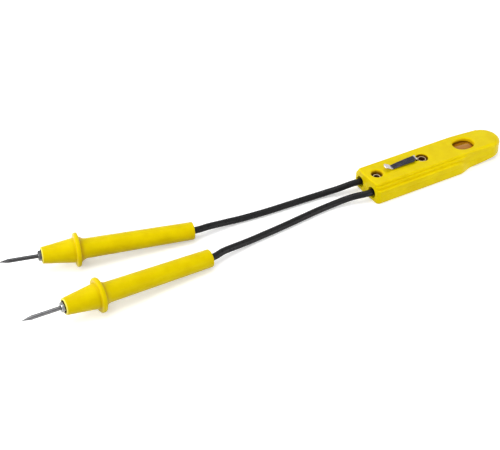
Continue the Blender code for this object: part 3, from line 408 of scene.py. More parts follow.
def yellow_plastic(name, worn, painted_light, matrix=None, share=1.0):
    """Satin moulded plastic: faint clouds of tone, a fine matt texture, rubbed spots and a few hair scratches."""
    s = Shading(name, matrix)
    clouds = s.noise(140.0, 4.0, 0.55)
    tones = ((0.3, (0.685, 0.512, 0.0005)), (0.5, (0.73, 0.565, 0.0006)), (0.72, (0.77, 0.607, 0.001)))
    tone = s.ramp(clouds, *((place, tuple(share * part for part in tone)) for place, tone in tones))
    grime = s.ramp(s.noise(430.0, 6.0, 0.62), (0.56, 0.0), (0.78, 1.0))
    colour = s.mix(s.product(grime, 0.22 * worn), tone, (0.50, 0.31, 0.002))
    specks = s.ramp(s.spots(620.0), (0.0, 1.0), (0.055, 0.0))
    colour = s.mix(s.product(specks, 0.3 * worn), colour, (0.26, 0.16, 0.004))
    # painted shade and highlights at this look's own places
    colour = painted_light(s, colour)
    rubbed = s.noise(260.0, 5.0, 0.6)
    roughness = s.ramp(rubbed, (0.35, 0.28), (0.65, 0.4))
    hair = s.ramp(s.noise(900.0, 2.0, 0.4, 0.3, s.stretched(0.12, 1.0, 1.0)), (0.485, 0.0), (0.5, 1.0), (0.515, 0.0))
    fine = s.noise(5200.0, 2.0, 0.5)
    waves = s.noise(95.0, 2.0, 0.5)
    normal = s.bump(waves, 0.12, 0.00035)
    normal = s.bump(fine, 0.16, 0.00004, normal)
    normal = s.bump(hair, 0.1 * worn, 0.00003, normal)
    return s.set(
        Base_Color=colour, Roughness=roughness, Normal=normal, IOR=1.46, Specular_IOR_Level=0.17,
        Specular_Tint=(1.0, 0.88, 0.1), Subsurface_Weight=0.12, Subsurface_Radius=(1.0, 0.55, 0.04),
        Subsurface_Scale=0.0016)


def lead_rubber(name):
    """Black cable jacket: satin, very slightly greyed in places, with a fine drawn texture."""
    s = Shading(name)
    clouds = s.noise(180.0, 4.0, 0.6)
    colour = s.ramp(clouds, (0.3, (0.006, 0.006, 0.0065)), (0.7, (0.012, 0.012, 0.0125)))
    dust = s.ramp(s.noise(1500.0, 4.0, 0.6), (0.6, 0.0), (0.8, 0.3))
    colour = s.mix(dust, colour, (0.035, 0.035, 0.037))
    roughness = s.ramp(s.noise(420.0, 4.0, 0.6), (0.3, 0.24), (0.7, 0.36))
    drawn = s.noise(2200.0, 2.0, 0.5, 0.0, s.stretched(0.12, 1.0, 1.0))
    normal = s.bump(drawn, 0.15, 0.00005)
    normal = s.bump(s.noise(5500.0, 2.0), 0.12, 0.00004, normal)
    return s.set(Base_Color=colour, Roughness=roughness, Normal=normal, Specular_IOR_Level=0.14)


def turned_steel(name, tone, rough, matrix=None, recess=0.0):
    """Metal with fine rings about the piece's own Z axis, a few dull stains, and painted shade in the recess within
    that radius.
    """
    s = Shading(name, matrix)
    rings = s.noise(2600.0, 3.0, 0.6, 0.0, s.stretched(0.05, 0.05, 1.0))
    stains = s.noise(520.0, 5.0, 0.6)
    dark = tuple(0.7 * level for level in tone)
    colour = s.mix(s.ramp(stains, (0.45, 0.0), (0.75, 1.0)), tone, dark)
    # painted shade in the head's dish and recess
    if recess:
        inside = s.product(s.fade(s.reach(0.0, 0.0), recess + 0.06 * MM, recess - 0.06 * MM),
                        s.fade(s.axis("Z"), 0.1 * MM, 0.2 * MM))
        colour = s.mix(inside, colour, RECESS_SHADE)
    roughness = s.ramp(rings, (0.3, rough * 0.7), (0.7, rough * 1.5))
    normal = s.bump(rings, 0.12, 0.00003)
    return s.set(Base_Color=colour, Roughness=roughness, Metallic=1.0, Normal=normal)


def spring_steel(name):
    """Blued spring leaf: dark and brushed along its length, with a painted highlight in pale base colour at the
    tongue and at the narrow neck.
    """
    s = Shading(name)
    along = s.axis("X")
    # painted highlight: pale colour where the tongue and the neck catch the light
    tongue_and_neck_highlight = s.calculate("MAXIMUM", s.fade(along, CLIP_BEND_X + 0.3 * MM, CLIP_BEND_X - 0.7 * MM),
                       s.fade(along, CLIP_ROOT_X + 0.2 * MM, CLIP_ROOT_X + 0.7 * MM))
    brushed = s.noise(3400.0, 3.0, 0.6, 0.0, s.stretched(0.06, 1.0, 1.0))
    rubbed = s.ramp(s.noise(330.0, 4.0, 0.6), (0.45, 0.0), (0.7, 1.0))
    colour = s.mix(rubbed, (0.036, 0.036, 0.05), (0.07, 0.066, 0.083))
    colour = s.mix(tongue_and_neck_highlight, colour, (0.56, 0.52, 0.52))
    roughness = s.ramp(brushed, (0.3, 0.2), (0.7, 0.36))
    normal = s.bump(brushed, 0.15, 0.00003)
    return s.set(Base_Color=colour, Roughness=roughness, Metallic=1.0, Normal=normal)


def plain_metal(name, low, high, rough):
    s = Shading(name)
    stains = s.noise(900.0, 4.0, 0.6)
    colour = s.ramp(stains, (0.35, low), (0.65, high))
    roughness = s.ramp(s.noise(1800.0, 3.0), (0.3, rough * 0.75), (0.7, rough * 1.3))
    normal = s.bump(stains, 0.15, 0.00004)
    return s.set(Base_Color=colour, Roughness=roughness, Metallic=1.0, Normal=normal)


def lens_painted_amber(name):
    """The window's clear plastic, its colour a painted amber light from the shells around it, with faint flow lines.
    """
    s = Shading(name)
    flow = s.noise(420.0, 3.0, 0.5, 0.4, s.stretched(0.3, 1.0, 1.0))
    colour = s.ramp(flow, (0.3, (0.55, 0.20, 0.006)), (0.7, (0.76, 0.36, 0.02)))
    roughness = s.ramp(s.noise(1500.0, 3.0), (0.3, 0.06), (0.7, 0.16))
    return s.set(
        Base_Color=colour, Roughness=roughness, Transmission_Weight=0.5, IOR=1.49,
        Normal=s.bump(flow, 0.25, 0.0001))


def grained(name, scale, tones, roughness, strength, distance, **sockets):
    """A plain look whose tone, roughness and bump share one noise."""
    s = Shading(name)
    grain = s.noise(scale, 4.0, 0.6)
    normal = s.bump(grain, strength, distance)
    return s.set(Base_Color=s.ramp(grain, *tones), Roughness=s.ramp(grain, *roughness), Normal=normal, **sockets)


def add_object(name, data, matrix=None):
    obj = bpy.data.objects.new(name, data)
    bpy.context.scene.collection.objects.link(obj)
    if matrix:
        obj.matrix_world = matrix
    return obj


def mesh_object(name, points, faces, matrix=None):
    mesh = bpy.data.meshes.new(name)
    mesh.from_pydata(points, [], faces)
    bm = bmesh.new()
    bm.from_mesh(mesh)
    bmesh.ops.recalc_face_normals(bm, faces=bm.faces)
    bm.to_mesh(mesh)
    bm.free()
    return add_object(name, mesh, matrix)


def finish_piece(obj, material, slot, *nodes, angle=30):
    """Look and replaced nodes of a piece, whose slot is not used; its edges above the angle stay sharp, and flat
    faces flat.
    """
    if obj.type == "MESH":
        obj.data.shade_smooth()
        obj.data.set_sharp_from_angle(angle=radians(angle))
        weighted = obj.modifiers.new("weighted", "WEIGHTED_NORMAL")
        weighted.keep_sharp = True
        weighted.weight = 100
    obj.data.materials.clear()
    obj.data.materials.append(material)
    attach(obj, "root")
    if nodes:
        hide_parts(*nodes)


def filleted(points, count=4, closed=False):
    """A profile whose (radius, height, rounding) corners are rounded off."""
    found = []
    last = len(points) - 1
    for i, (x, z, rounding) in enumerate(points):
        here = Vector((x, z))
        if rounding == 0 or (not closed and i in (0, last)):
            found.append((x, z))
            continue
        before = Vector(points[i - 1][:2]) - here
        after = Vector(points[(i + 1) % len(points)][:2]) - here
        half = before.angle(after) / 2
        cut = min(rounding / tan(half), 0.48 * before.length, 0.48 * after.length)
        start = here + before.normalized() * cut
        end = here + after.normalized() * cut
        for k in range(count + 1):
            t = k / count
            place = start * (1 - t) ** 2 + here * 2 * t * (1 - t) + end * t**2
            found.append((place.x, place.y))
    return found


def turned(name, profile, matrix=None, steps=64, closed=False):
    """A (radius, height) profile turned about Z: open from axis to axis, or a closed loop off the axis."""
    points = []
    rows = []
    for radius, height in profile:
        if radius < 1e-7:
            rows.append([len(points)])
            points.append((0.0, 0.0, height))
            continue
        rows.append(list(range(len(points), len(points) + steps)))
        for k in range(steps):
            angle = 2 * pi * k / steps
            points.append((radius * cos(angle), radius * sin(angle), height))
    faces = []
    pairs = list(zip(rows, rows[1:]))
    if closed:
        pairs.append((rows[-1], rows[0]))
    for first, second in pairs:
        for k in range(steps):
            m = (k + 1) % steps
            if len(first) == 1:
                faces.append((first[0], second[k], second[m]))
            elif len(second) == 1:
                faces.append((first[k], first[m], second[0]))
            else:
                faces.append((first[k], first[m], second[m], second[k]))
    return mesh_object(name, points, faces, matrix)


def block(name, low, high):
    (x0, y0, z0), (x1, y1, z1) = low, high
    points = [(x, y, z) for z in (z0, z1) for y in (y0, y1) for x in (x0, x1)]
    faces = [(0, 2, 3, 1), (4, 5, 7, 6), (0, 1, 5, 4), (2, 6, 7, 3), (0, 4, 6, 2), (1, 3, 7, 5)]
    return mesh_object(name, points, faces)


def apply_cuts(obj, cutters, solver="MANIFOLD"):
    """Joins or cuts the other shapes in turn, then keeps the result and drops the cutters."""
    for other, operation in cutters:
        modifier = obj.modifiers.new(other.name, "BOOLEAN")
        modifier.operation = operation
        modifier.solver = solver
        modifier.object = other
    bpy.context.view_layer.update()
    graph = bpy.context.evaluated_depsgraph_get()
    mesh = bpy.data.meshes.new_from_object(obj.evaluated_get(graph))
    obj.modifiers.clear()
    obj.data = mesh
    for other, _ in cutters:
        bpy.data.objects.remove(other, do_unlink=True)


def clamp(value):
    return min(max(value, 0.0), 1.0)


def quarter(count):
    """Angles from 0 to 90 degrees."""
    return [pi / 2 * i / count for i in range(count + 1)]


def cable_end(layer, side, whole):
    """Half of the slightly bowed end, from the middle round its corner; side and whole are insets."""
    half = LAYER_HALF[layer] - side
    edge = half - whole
    corner = max(LAYER_CORNER[layer] - whole, 0.4 * MM)
    flat = edge - corner

    def end_x(y):
        return END_X + whole + END_SAGITTA * (y / half) ** 2

    points = [(end_x(flat * i / 6), flat * i / 6) for i in range(6)]
    centre_x = end_x(flat) + corner
    for angle in quarter(8):
        points.append((centre_x - corner * cos(angle), flat + corner * sin(angle)))
    return points


def shoulder(layer, height, x):
    """How much of a layer's step is left at x: a soft curve whose middle moves back as it gets higher."""
    low, top, reach = SHOULDERS[layer]
    share = clamp((height - low) / (top - low))
    middle = NECK_END - reach * (1 - sqrt(1 - share**2))
    run = clamp((x - middle) / (NECK_RUN * (1 - 0.5 * share)) + 0.5)
    return 1 - run**2 * (3 - 2 * run)


def core_half(x):
    start = TIP_X - TIP_ROUND
    share = clamp((x - NECK_END) / (start - NECK_END))
    return PLATEAU_HALF + (TIP_HALF - PLATEAU_HALF) * share


def half_outline(layer, height, side, whole):
    """The (x, y) outline of one layer at one height, from the cable end's middle to the tip's."""
    points = cable_end(layer, side, whole)
    for x in STATIONS:
        core = core_half(x)
        step = LAYER_HALF[layer] - side - core
        if layer != "plateau":
            step *= shoulder(layer, height, x)
        points.append((x, core + max(step, 0.0) - whole))
    start = TIP_X - TIP_ROUND
    for angle in quarter(20)[1:]:
        x = start + (TIP_ROUND - whole) * sin(angle)
        points.append((x, (TIP_HALF - whole) * cos(angle)))
    points[-1] = (points[-1][0], 0.0)
    return points


def tip_share(x):
    return clamp((x - NECK_END) / (TIP_X - NECK_END))


def top_drop(x):
    return TIP_DROP * tip_share(x) ** TIP_DROP_CURVE


def crest_edge(x):
    return CREST_EDGE + (TIP_CREST_EDGE - CREST_EDGE) * tip_share(x) ** TIP_CREST_CURVE


def underside_lift(x):
    return TIP_LIFT * tip_share(x) ** TIP_LIFT_CURVE


def level(layer, height, side=0.0, whole=0.0):
    """A half ring of the housing, which the tip's drop and the underside's lift bend out of its plane."""
    fall = max(height / (TOP_Z - CREST_EDGE), 0.0) ** 2
    rise = max(1 - height / SEAM_HEIGHT, 0.0)
    ring = []
    for x, y in half_outline(layer, height, side, whole):
        drop = top_drop(x) + crest_edge(x) - CREST_EDGE
        ring.append((x, y, height - drop * fall + underside_lift(x) * rise))
    return ring


def crest_level(angle):
    """A half ring of the round edge between the top and the plateau's wall."""
    plain = half_outline("plateau", TOP_Z, 0.0, 0.0)
    ring = []
    for k, (x, _) in enumerate(plain):
        edge = crest_edge(x)
        x, y = half_outline("plateau", TOP_Z, 0.0, edge * (1 - cos(angle)))[k]
        ring.append((x, y, TOP_Z - top_drop(x) - edge * (1 - sin(angle))))
    return ring


def skin(name, halves):
    """A closed solid through stacked half outlines, lowest first, capped by strips across the centre line."""
    count = len(halves[0])
    around = 2 * count - 2
    points = [p for half in halves for p in half + [(x, -y, z) for x, y, z in reversed(half[1:-1])]]
    faces = []
    for row in range(len(halves) - 1):
        low = row * around
        high = low + around
        for i in range(around):
            j = (i + 1) % around
            faces.append((low + j, low + i, high + i, high + j))
    top = (len(halves) - 1) * around
    for i in range(count - 1):
        strip = sorted({i, i + 1, around - i - 1, (around - i) % around})
        faces.append(tuple(strip))
        faces.append(tuple(top + k for k in reversed(strip)))
    return mesh_object(name, points, faces)


def side_whole(height):
    """The draft of the side walls: the housing is a little wider low down."""
    return -DRAFT * (1 - height / SKIRT_HEIGHT)


def seam_levels(towards):
    """Rings at the parting line, whose edge is softened so that it shows as a fine groove."""
    face = SEAM_HEIGHT + towards * SEAM_GAP / 2
    rings = []
    for share in (1.0, 0.5, 0.0):
        height = face + towards * SEAM_EDGE * (1 - share)
        inset = SEAM_EDGE * share**2
        rings.append(level("skirt", height, whole=side_whole(height) + inset))
    return rings


def front_form():
    halves = []
    for angle in reversed(quarter(6)):
        whole = BOTTOM_EDGE * (1 - cos(angle)) + side_whole(0)
        halves.append(level("skirt", BOTTOM_EDGE * (1 - sin(angle)), whole=whole))
    halves += [level("skirt", z * MM, whole=side_whole(z * MM)) for z in (1.8, 2.6, 3.4, 4.2)]
    halves += reversed(seam_levels(-1))
    return skin("front_shell_fine", halves)


def rear_form():
    halves = seam_levels(1)
    halves += [level("skirt", z * MM, whole=side_whole(z * MM)) for z in (5.4, 5.9, 6.4, 6.9, 7.25, 7.5)]
    for angle in quarter(6):
        side = SKIRT_EDGE * (1 - cos(angle))
        height = SKIRT_HEIGHT - SKIRT_EDGE * (1 - sin(angle))
        halves.append(level("skirt", height, side=side, whole=side_whole(height)))
    halves.append(level("ledge", SKIRT_HEIGHT + LEDGE_SLOPE))
    halves += [level("ledge", z * MM) for z in (8.6, 9.0, 9.3)]
    for angle in quarter(5):
        height = LEDGE_HEIGHT - LEDGE_EDGE * (1 - sin(angle))
        halves.append(level("ledge", height, side=LEDGE_EDGE * (1 - cos(angle))))
    halves.append(level("plateau", LEDGE_HEIGHT + LEDGE_SLOPE))
    halves += [crest_level(angle) for angle in quarter(8)]
    return skin("rear_shell_fine", halves)


def hollow():
    """The inside of both shells, one wall behind the outside."""
    steps = [
        ("skirt", FLOOR, WALL + 0.4 * MM), ("skirt", FLOOR + 0.4 * MM, WALL),
        ("skirt", SKIRT_HEIGHT - WALL, WALL), ("ledge", SKIRT_HEIGHT - WALL + LEDGE_SLOPE, WALL),
        ("ledge", LEDGE_HEIGHT - WALL, WALL),
        ("plateau", LEDGE_HEIGHT - WALL + LEDGE_SLOPE, WALL), ("plateau", TOP_Z - WALL, WALL)]
    return skin("hollow", [level(layer, height, whole=whole) for layer, height, whole in steps])


def oval(growth, height):
    """A ring of the window's outline."""
    points = []
    for i in range(64):
        angle = 2 * pi * i / 64
        across, along = (
            copysign(abs(part) ** (2 / WINDOW_SQUARENESS), part) for part in (sin(angle), cos(angle)))
        x = WINDOW_X + (WINDOW_HALF_LENGTH + growth) * along
        points.append((x, (WINDOW_HALF_WIDTH + growth) * across, height))
    return points


def stacked(name, rings, closed=False):
    """A closed solid through equal rings, capped flat at both ends, or led back from the last ring to the first."""
    rows = len(rings)
    around = len(rings[0])
    points = [p for ring in rings for p in ring]
    faces = [] if closed else [tuple(reversed(range(around)))]
    for row in range(rows if closed else rows - 1):
        low = row * around
        high = (row + 1) % rows * around
        for i in range(around):
            j = (i + 1) % around
            faces.append((low + i, low + j, high + j, high + i))
    if not closed:
        faces.append(tuple(range(rows * around - around, rows * around)))
    return mesh_object(name, points, faces)


def window_cutter():
    """The opening, whose mouth widens in a soft round."""
    rings = [oval(0.0, TOP_Z / 2)]
    for angle in quarter(6):
        height = TOP_Z - WINDOW_MOUTH * (1 - sin(angle)) - WINDOW_MOUTH_DROP
        rings.append(oval(WINDOW_MOUTH * (1 - cos(angle)), height))
    rings.append(oval(WINDOW_MOUTH, CUT_TOP))
    return stacked("window_cutter", rings)


def along_x(x, y, z):
    """The place of a piece whose own Z axis lies along X."""
    return Matrix.Translation((x, y, z)) @ Matrix.Rotation(pi / 2, 4, "Y")


def cable_ways():
    """The cable holes with their softened mouths, and the narrower channels behind them."""
    start = END_X - 2 * MM
    end = END_X + HOLE_DEPTH
    face = END_X + 0.05 * MM
    hole = HOLE_RADIUS
    mouth = HOLE_MOUTH
    channel = LEAD_RADIUS + GAP
    length = LEAD_INNER_END_X + 0.5 * MM - start
    cuts = []
    for side, y in (("far", LEAD_SPACING), ("near", -LEAD_SPACING)):
        cuts.append((turned(f"{side}_entry", [
            (0.0, start), (hole + mouth, start), (hole + mouth, face), (hole + 0.3 * mouth, face + 0.3 * mouth),
            (hole, face + mouth), (hole, end), (0.0, end)], along_x(0.0, y, SEAM_HEIGHT), 48), CUT))
        cuts.append((turned(f"{side}_channel", [
            (0.0, 0.0), (channel, 0.0), (channel, length), (0.0, length)], along_x(start, y, SEAM_HEIGHT), 48),
            CUT))
    return cuts


def well_parts(name, x, radius, mouth):
    """(tube, bore) of one screw well, whose mouth is softly rounded."""
    outer = radius + WELL_WALL
    plate_bottom = SEAT_Z - WELL_PLATE
    root = TOP_Z - WALL / 2
    place = Matrix.Translation((x, 0.0, 0.0))
    tube = turned(f"{name}_tube", [
        (0.0, root), (outer, root), (outer, SEAT_Z + 0.5 * MM),
        (WELL_FOOT_RADIUS, SEAT_Z - 0.4 * MM), (WELL_FOOT_RADIUS, plate_bottom), (0.0, plate_bottom)], place)
    shank = SHANK_RADIUS + GAP
    brim = TOP_Z - WELL_MOUTH_DROP
    below = SEAT_Z - 3 * WELL_PLATE
    profile = [(0.0, CUT_TOP), (radius + mouth, CUT_TOP), (radius + mouth, brim)]
    for angle in quarter(5)[1:]:
        profile.append((radius + mouth * (1 - sin(angle)), brim - mouth * (1 - cos(angle))))
    profile += [(radius, SEAT_Z), (shank, SEAT_Z), (shank, below), (0.0, below)]
    return tube, turned(f"{name}_bore", profile, place)


def rear_shell(material):
    shell = rear_form()
    clip_tube, clip_bore = well_parts("clip", CLIP_WELL_X, CLIP_WELL_RADIUS, CLIP_WELL_MOUTH)
    shell_tube, shell_bore = well_parts("shell", SHELL_WELL_X, SHELL_WELL_RADIUS, SHELL_WELL_MOUTH)
    neck_half = CLIP_NECK_WIDTH / 2 + GAP
    notch = block("notch", (CLIP_ROOT_X + 0.5 * MM, -neck_half, TOP_Z - CLIP_NOTCH_DEPTH),
                  (CLIP_WELL_X, neck_half, CUT_TOP))
    apply_cuts(shell, [
        (hollow(), CUT), (clip_tube, JOIN), (shell_tube, JOIN), (clip_bore, CUT),
        (shell_bore, CUT), (notch, CUT), (window_cutter(), CUT), *cable_ways()])
    finish_piece(shell, material, "yellow_plastic", "rear_shell")


def front_shell(material):
    shell = front_form()
    apply_cuts(shell, [(hollow(), CUT), *cable_ways()])
    finish_piece(shell, material, "yellow_plastic", "front_shell")


def smooth_points(points, steps):
    """A curve through all points whose tangent at each one follows its two neighbours."""
    places = [Vector(point) for point in points]
    ends = [2 * places[0] - places[1]] + places + [2 * places[-1] - places[-2]]
    found = []
    for a, b, c, d in zip(ends, ends[1:], ends[2:], ends[3:]):
        reach = (c - b).length
        start = (c - a).normalized() * reach
        finish = (d - b).normalized() * reach
        for i in range(steps):
            t = i / steps
            found.append(
                b * (2 * t**3 - 3 * t**2 + 1) + start * (t**3 - 2 * t**2 + t)
                + c * (3 * t**2 - 2 * t**3) + finish * (t**3 - t**2))
    found.append(places[-1])
    return found


def even_points(points, spacing):
    """Points at even distances along the line, near the given spacing."""
    lengths = [(b - a).length for a, b in zip(points, points[1:])]
    total = sum(lengths)
    count = max(2, round(total / spacing))
    found = [points[0]]
    travelled = 0.0
    wanted = total / count
    for start, finish, length in zip(points, points[1:], lengths):
        while travelled + length >= wanted - 1e-9 and len(found) < count:
            found.append(start.lerp(finish, (wanted - travelled) / length))
            wanted += total / count
        travelled += length
    found.append(points[-1])
    return found


def probe_matrix(guard, yaw):
    """The centre of the guard's front face, with Z along the probe towards the pin's point."""
    middle = GUARD_DEPTH / 2
    reach = FLARE_LENGTH + GRIP_LENGTH + middle - REAR_BAND
    tilt = asin((GUARD_RADIUS - GRIP_REAR_RADIUS) / reach)
    axis = Vector((-cos(yaw) * cos(tilt), -sin(yaw) * cos(tilt), sin(tilt)))
    height = GUARD_RADIUS * cos(tilt) + middle * sin(tilt)
    return Matrix.Translation((*guard, height)) @ axis.to_track_quat("Z", "Y").to_matrix().to_4x4()


def handle_profile():
    """Nose rim, cone, guard disc, flare, grip and rear band, then the bore back up to the nose pocket."""
    pocket_floor = NOSE_LENGTH - POCKET_DEPTH
    corners = [
        (POCKET_RADIUS, NOSE_LENGTH, 0.12 * MM), (NOSE_RADIUS, NOSE_LENGTH, 0.3 * MM),
        (CONE_RADIUS, 0.35 * MM, 0.0), (CONE_RADIUS + 0.25 * MM, 0.0, 0.4 * MM),
        (GUARD_RADIUS, 0.0, GUARD_DEPTH / 2), (GUARD_RADIUS, -GUARD_DEPTH, GUARD_DEPTH / 2)]
    for i in range(15):
        share = i / 14
        radius = GRIP_FRONT_RADIUS + (FLARE_RADIUS - GRIP_FRONT_RADIUS) * (1 - share) ** FLARE_CURVE
        corners.append((radius, -GUARD_DEPTH - FLARE_LENGTH * share, 0.0))
    grip_start = -GUARD_DEPTH - FLARE_LENGTH
    grip_end = HANDLE_REAR + REAR_BAND
    for i in range(1, 24):
        share = i / 24
        radius = GRIP_FRONT_RADIUS + (GRIP_REAR_RADIUS - GRIP_FRONT_RADIUS) * share
        corners.append((radius, grip_start + (grip_end - grip_start) * share, 0.0))
    corners += [
        (GRIP_REAR_RADIUS, grip_end, 0.0), (GRIP_REAR_RADIUS, HANDLE_REAR, 0.5 * MM),
        (LEAD_RADIUS + GAP, HANDLE_REAR, 0.15 * MM), (LEAD_RADIUS + GAP, BARREL_FRONT + GAP, 0.0),
        (PIN_RADIUS + GAP, BARREL_FRONT + GAP, 0.0), (PIN_RADIUS + GAP, pocket_floor, 0.0),
        (POCKET_RADIUS, pocket_floor, 0.1 * MM)]
    return filleted(corners, 6, closed=True)


def pin_profile():
    end = NOSE_LENGTH + PIN_REACH
    return filleted([
        (0.0, end, 0.0), (0.1 * MM, end - 0.06 * MM, 0.06 * MM), (PIN_RADIUS, end - PIN_POINT, 0.5 * MM),
        (PIN_RADIUS, end - PIN_POINT - 6.0 * MM, 0.0), (PIN_RADIUS, NOSE_LENGTH, 0.0),
        (PIN_RADIUS, PIN_TAIL, 0.2 * MM), (0.0, PIN_TAIL, 0.0)], 8)


def collar(name):
    """A hexagon with chamfered corners on its front face and a softly countersunk bore."""
    low = NOSE_LENGTH - POCKET_DEPTH + GAP
    top = NOSE_LENGTH + COLLAR_REACH
    bore = PIN_RADIUS + GAP / 3
    flat = COLLAR_RADIUS * cos(pi / 6)
    face = COLLAR_FACE * flat
    steps = 144
    rings = []
    for k in range(steps):
        angle = 2 * pi * k / steps
        side = min(flat / cos(angle % (pi / 3) - pi / 6), COLLAR_CORNER * COLLAR_RADIUS)
        profile = filleted([
            (bore, low, 0.05 * MM), (side, low, 0.05 * MM), (side, top - (side - face), 0.07 * MM),
            (face, top, 0.07 * MM), (bore + COLLAR_SINK_WIDTH, top, 0.05 * MM),
            (bore, top - COLLAR_SINK_DEPTH, 0.03 * MM)], 3, closed=True)
        rings.append([(radius * cos(angle), radius * sin(angle), height) for radius, height in profile])
    return stacked(name, rings, closed=True)


def lead(side, y, route, matrix, material):
    """One free lead, from its bare end inside the housing, over the floor, to the barrel inside the probe."""
    heights = (HANDLE_REAR - 2.0 * MM, HANDLE_REAR + 12.0 * MM, LEAD_PROBE_END)
    inner_xs = (LEAD_INNER_END_X, (LEAD_INNER_END_X + END_X) / 2, END_X - 0.5 * MM)
    points = [(x, y, SEAM_HEIGHT) for x in inner_xs]
    points += [(END_X + a * MM, b * MM, c * MM) for a, b, c in route]
    points += [tuple(matrix @ Vector((0.0, 0.0, height))) for height in heights]
    line = even_points(smooth_points(points, 24), 2.0 * MM)
    curve = bpy.data.curves.new(f"{side}_lead_fine", "CURVE")
    curve.dimensions = "3D"
    curve.bevel_depth = LEAD_RADIUS
    curve.bevel_resolution = 10
    curve.use_fill_caps = True
    spline = curve.splines.new("POLY")
    spline.points.add(len(line) - 1)
    for point, place in zip(spline.points, line):
        point.co = (*place, 1.0)
    spline.use_smooth = True
    obj = add_object(f"{side}_lead_fine", curve)
    finish_piece(obj, material, "lead_rubber", f"{side}_lead")


def clip_path():
    """Centre line of the bent strip in the XZ plane, as (x, z, width): tongue, bend, leaf, and root into the well."""
    rest = TOP_Z + GAP + CLIP_DEPTH / 2
    foot = SEAT_Z + GAP + CLIP_DEPTH / 2
    bend = 0.35 * MM
    path = []
    for share in (0.12, 0.3):
        path.append((CLIP_TIP_X + (CLIP_BEND_X - CLIP_TIP_X) * share, rest + CLIP_TIP_RISE * (1 - share), CLIP_WIDTH))
    path.append((CLIP_BEND_X - 1.0 * MM, rest + 0.55 * MM, CLIP_WIDTH))
    path.append((CLIP_BEND_X - bend, rest + 0.12 * MM, CLIP_WIDTH))
    for i in range(9):
        share = i / 8
        x = CLIP_BEND_X + bend + (CLIP_ROOT_X - CLIP_BEND_X - bend) * share
        width = CLIP_WIDTH + (CLIP_ROOT_WIDTH - CLIP_WIDTH) * share
        path.append((x, rest + CLIP_ROOT_RISE * share + CLIP_BOW * 4 * share * (1 - share), width))
    root = rest + CLIP_ROOT_RISE
    drop_x = CLIP_WELL_X - CLIP_WELL_RADIUS + GAP + CLIP_DEPTH / 2
    for x, z in (
            (CLIP_ROOT_X + 0.25 * MM, root - 0.05 * MM), (drop_x - 0.8 * MM, root - 0.6 * MM),
            (drop_x - 0.2 * MM, root - 1.15 * MM), (drop_x, root - 1.9 * MM), (drop_x, foot + 0.9 * MM),
            (drop_x + 0.25 * MM, foot + 0.25 * MM), (drop_x + 0.9 * MM, foot)):
        path.append((x, z, CLIP_NECK_WIDTH))
    return path


def strip_section(width):
    """A rounded rectangle of the strip's cross-section, as (across, through)."""
    points = []
    for turn, (side, face) in enumerate(((1, 1), (-1, 1), (-1, -1), (1, -1))):
        for angle in quarter(4):
            around = angle + turn * pi / 2
            across = side * (width / 2 - CLIP_EDGE) + CLIP_EDGE * cos(around)
            points.append((across, face * (CLIP_DEPTH / 2 - CLIP_EDGE) + CLIP_EDGE * sin(around)))
    return points


def pocket_clip(material):
    """A bent leaf of spring steel with rounded edges and tongue; its eye sits under the clip screw."""
    line = smooth_points(clip_path(), 6)
    first = line[0]
    run = (first - line[1]).normalized()
    rows = []
    for angle in quarter(8)[1:]:
        ahead = 0.30 * CLIP_WIDTH * sin(angle)
        width = CLIP_WIDTH * max(cos(angle), 0.12)
        rows.insert(0, (first.x + run.x * ahead, first.y + run.y * ahead, width))
    rows += [tuple(place) for place in line]
    rings = []
    for i, (x, z, width) in enumerate(rows):
        before = rows[max(i - 1, 0)]
        after = rows[min(i + 1, len(rows) - 1)]
        along = Vector((after[0] - before[0], after[1] - before[1])).normalized()
        share = clamp((x - CLIP_BEND_X) / (CLIP_ROOT_X - CLIP_BEND_X))
        slant = CLIP_TIP_SLANT + (CLIP_ROOT_SLANT - CLIP_TIP_SLANT) * share**2
        slant *= 1 - clamp((x - CLIP_ROOT_X - 0.3 * MM) / (1.0 * MM))
        ring = []
        for across, through in strip_section(max(width, 0.3 * MM)):
            ring.append((x - along.y * through + slant * across, across, z + along.x * through))
        rings.append(ring)
    clip = stacked("pocket_clip_fine", rings)
    hole = SHANK_RADIUS + GAP
    foot = SEAT_Z + GAP
    top = foot + CLIP_DEPTH
    eye = turned("eye", filleted([
        (hole, top, 0.1 * MM), (CLIP_RING_RADIUS, top, CLIP_EDGE), (CLIP_RING_RADIUS, foot, CLIP_EDGE),
        (hole, foot, 0.1 * MM)], closed=True), Matrix.Translation((CLIP_WELL_X, 0.0, 0.0)), closed=True)
    apply_cuts(clip, [(eye, JOIN)], "EXACT")
    finish_piece(clip, material, "clip_steel", "pocket_clip", angle=40)


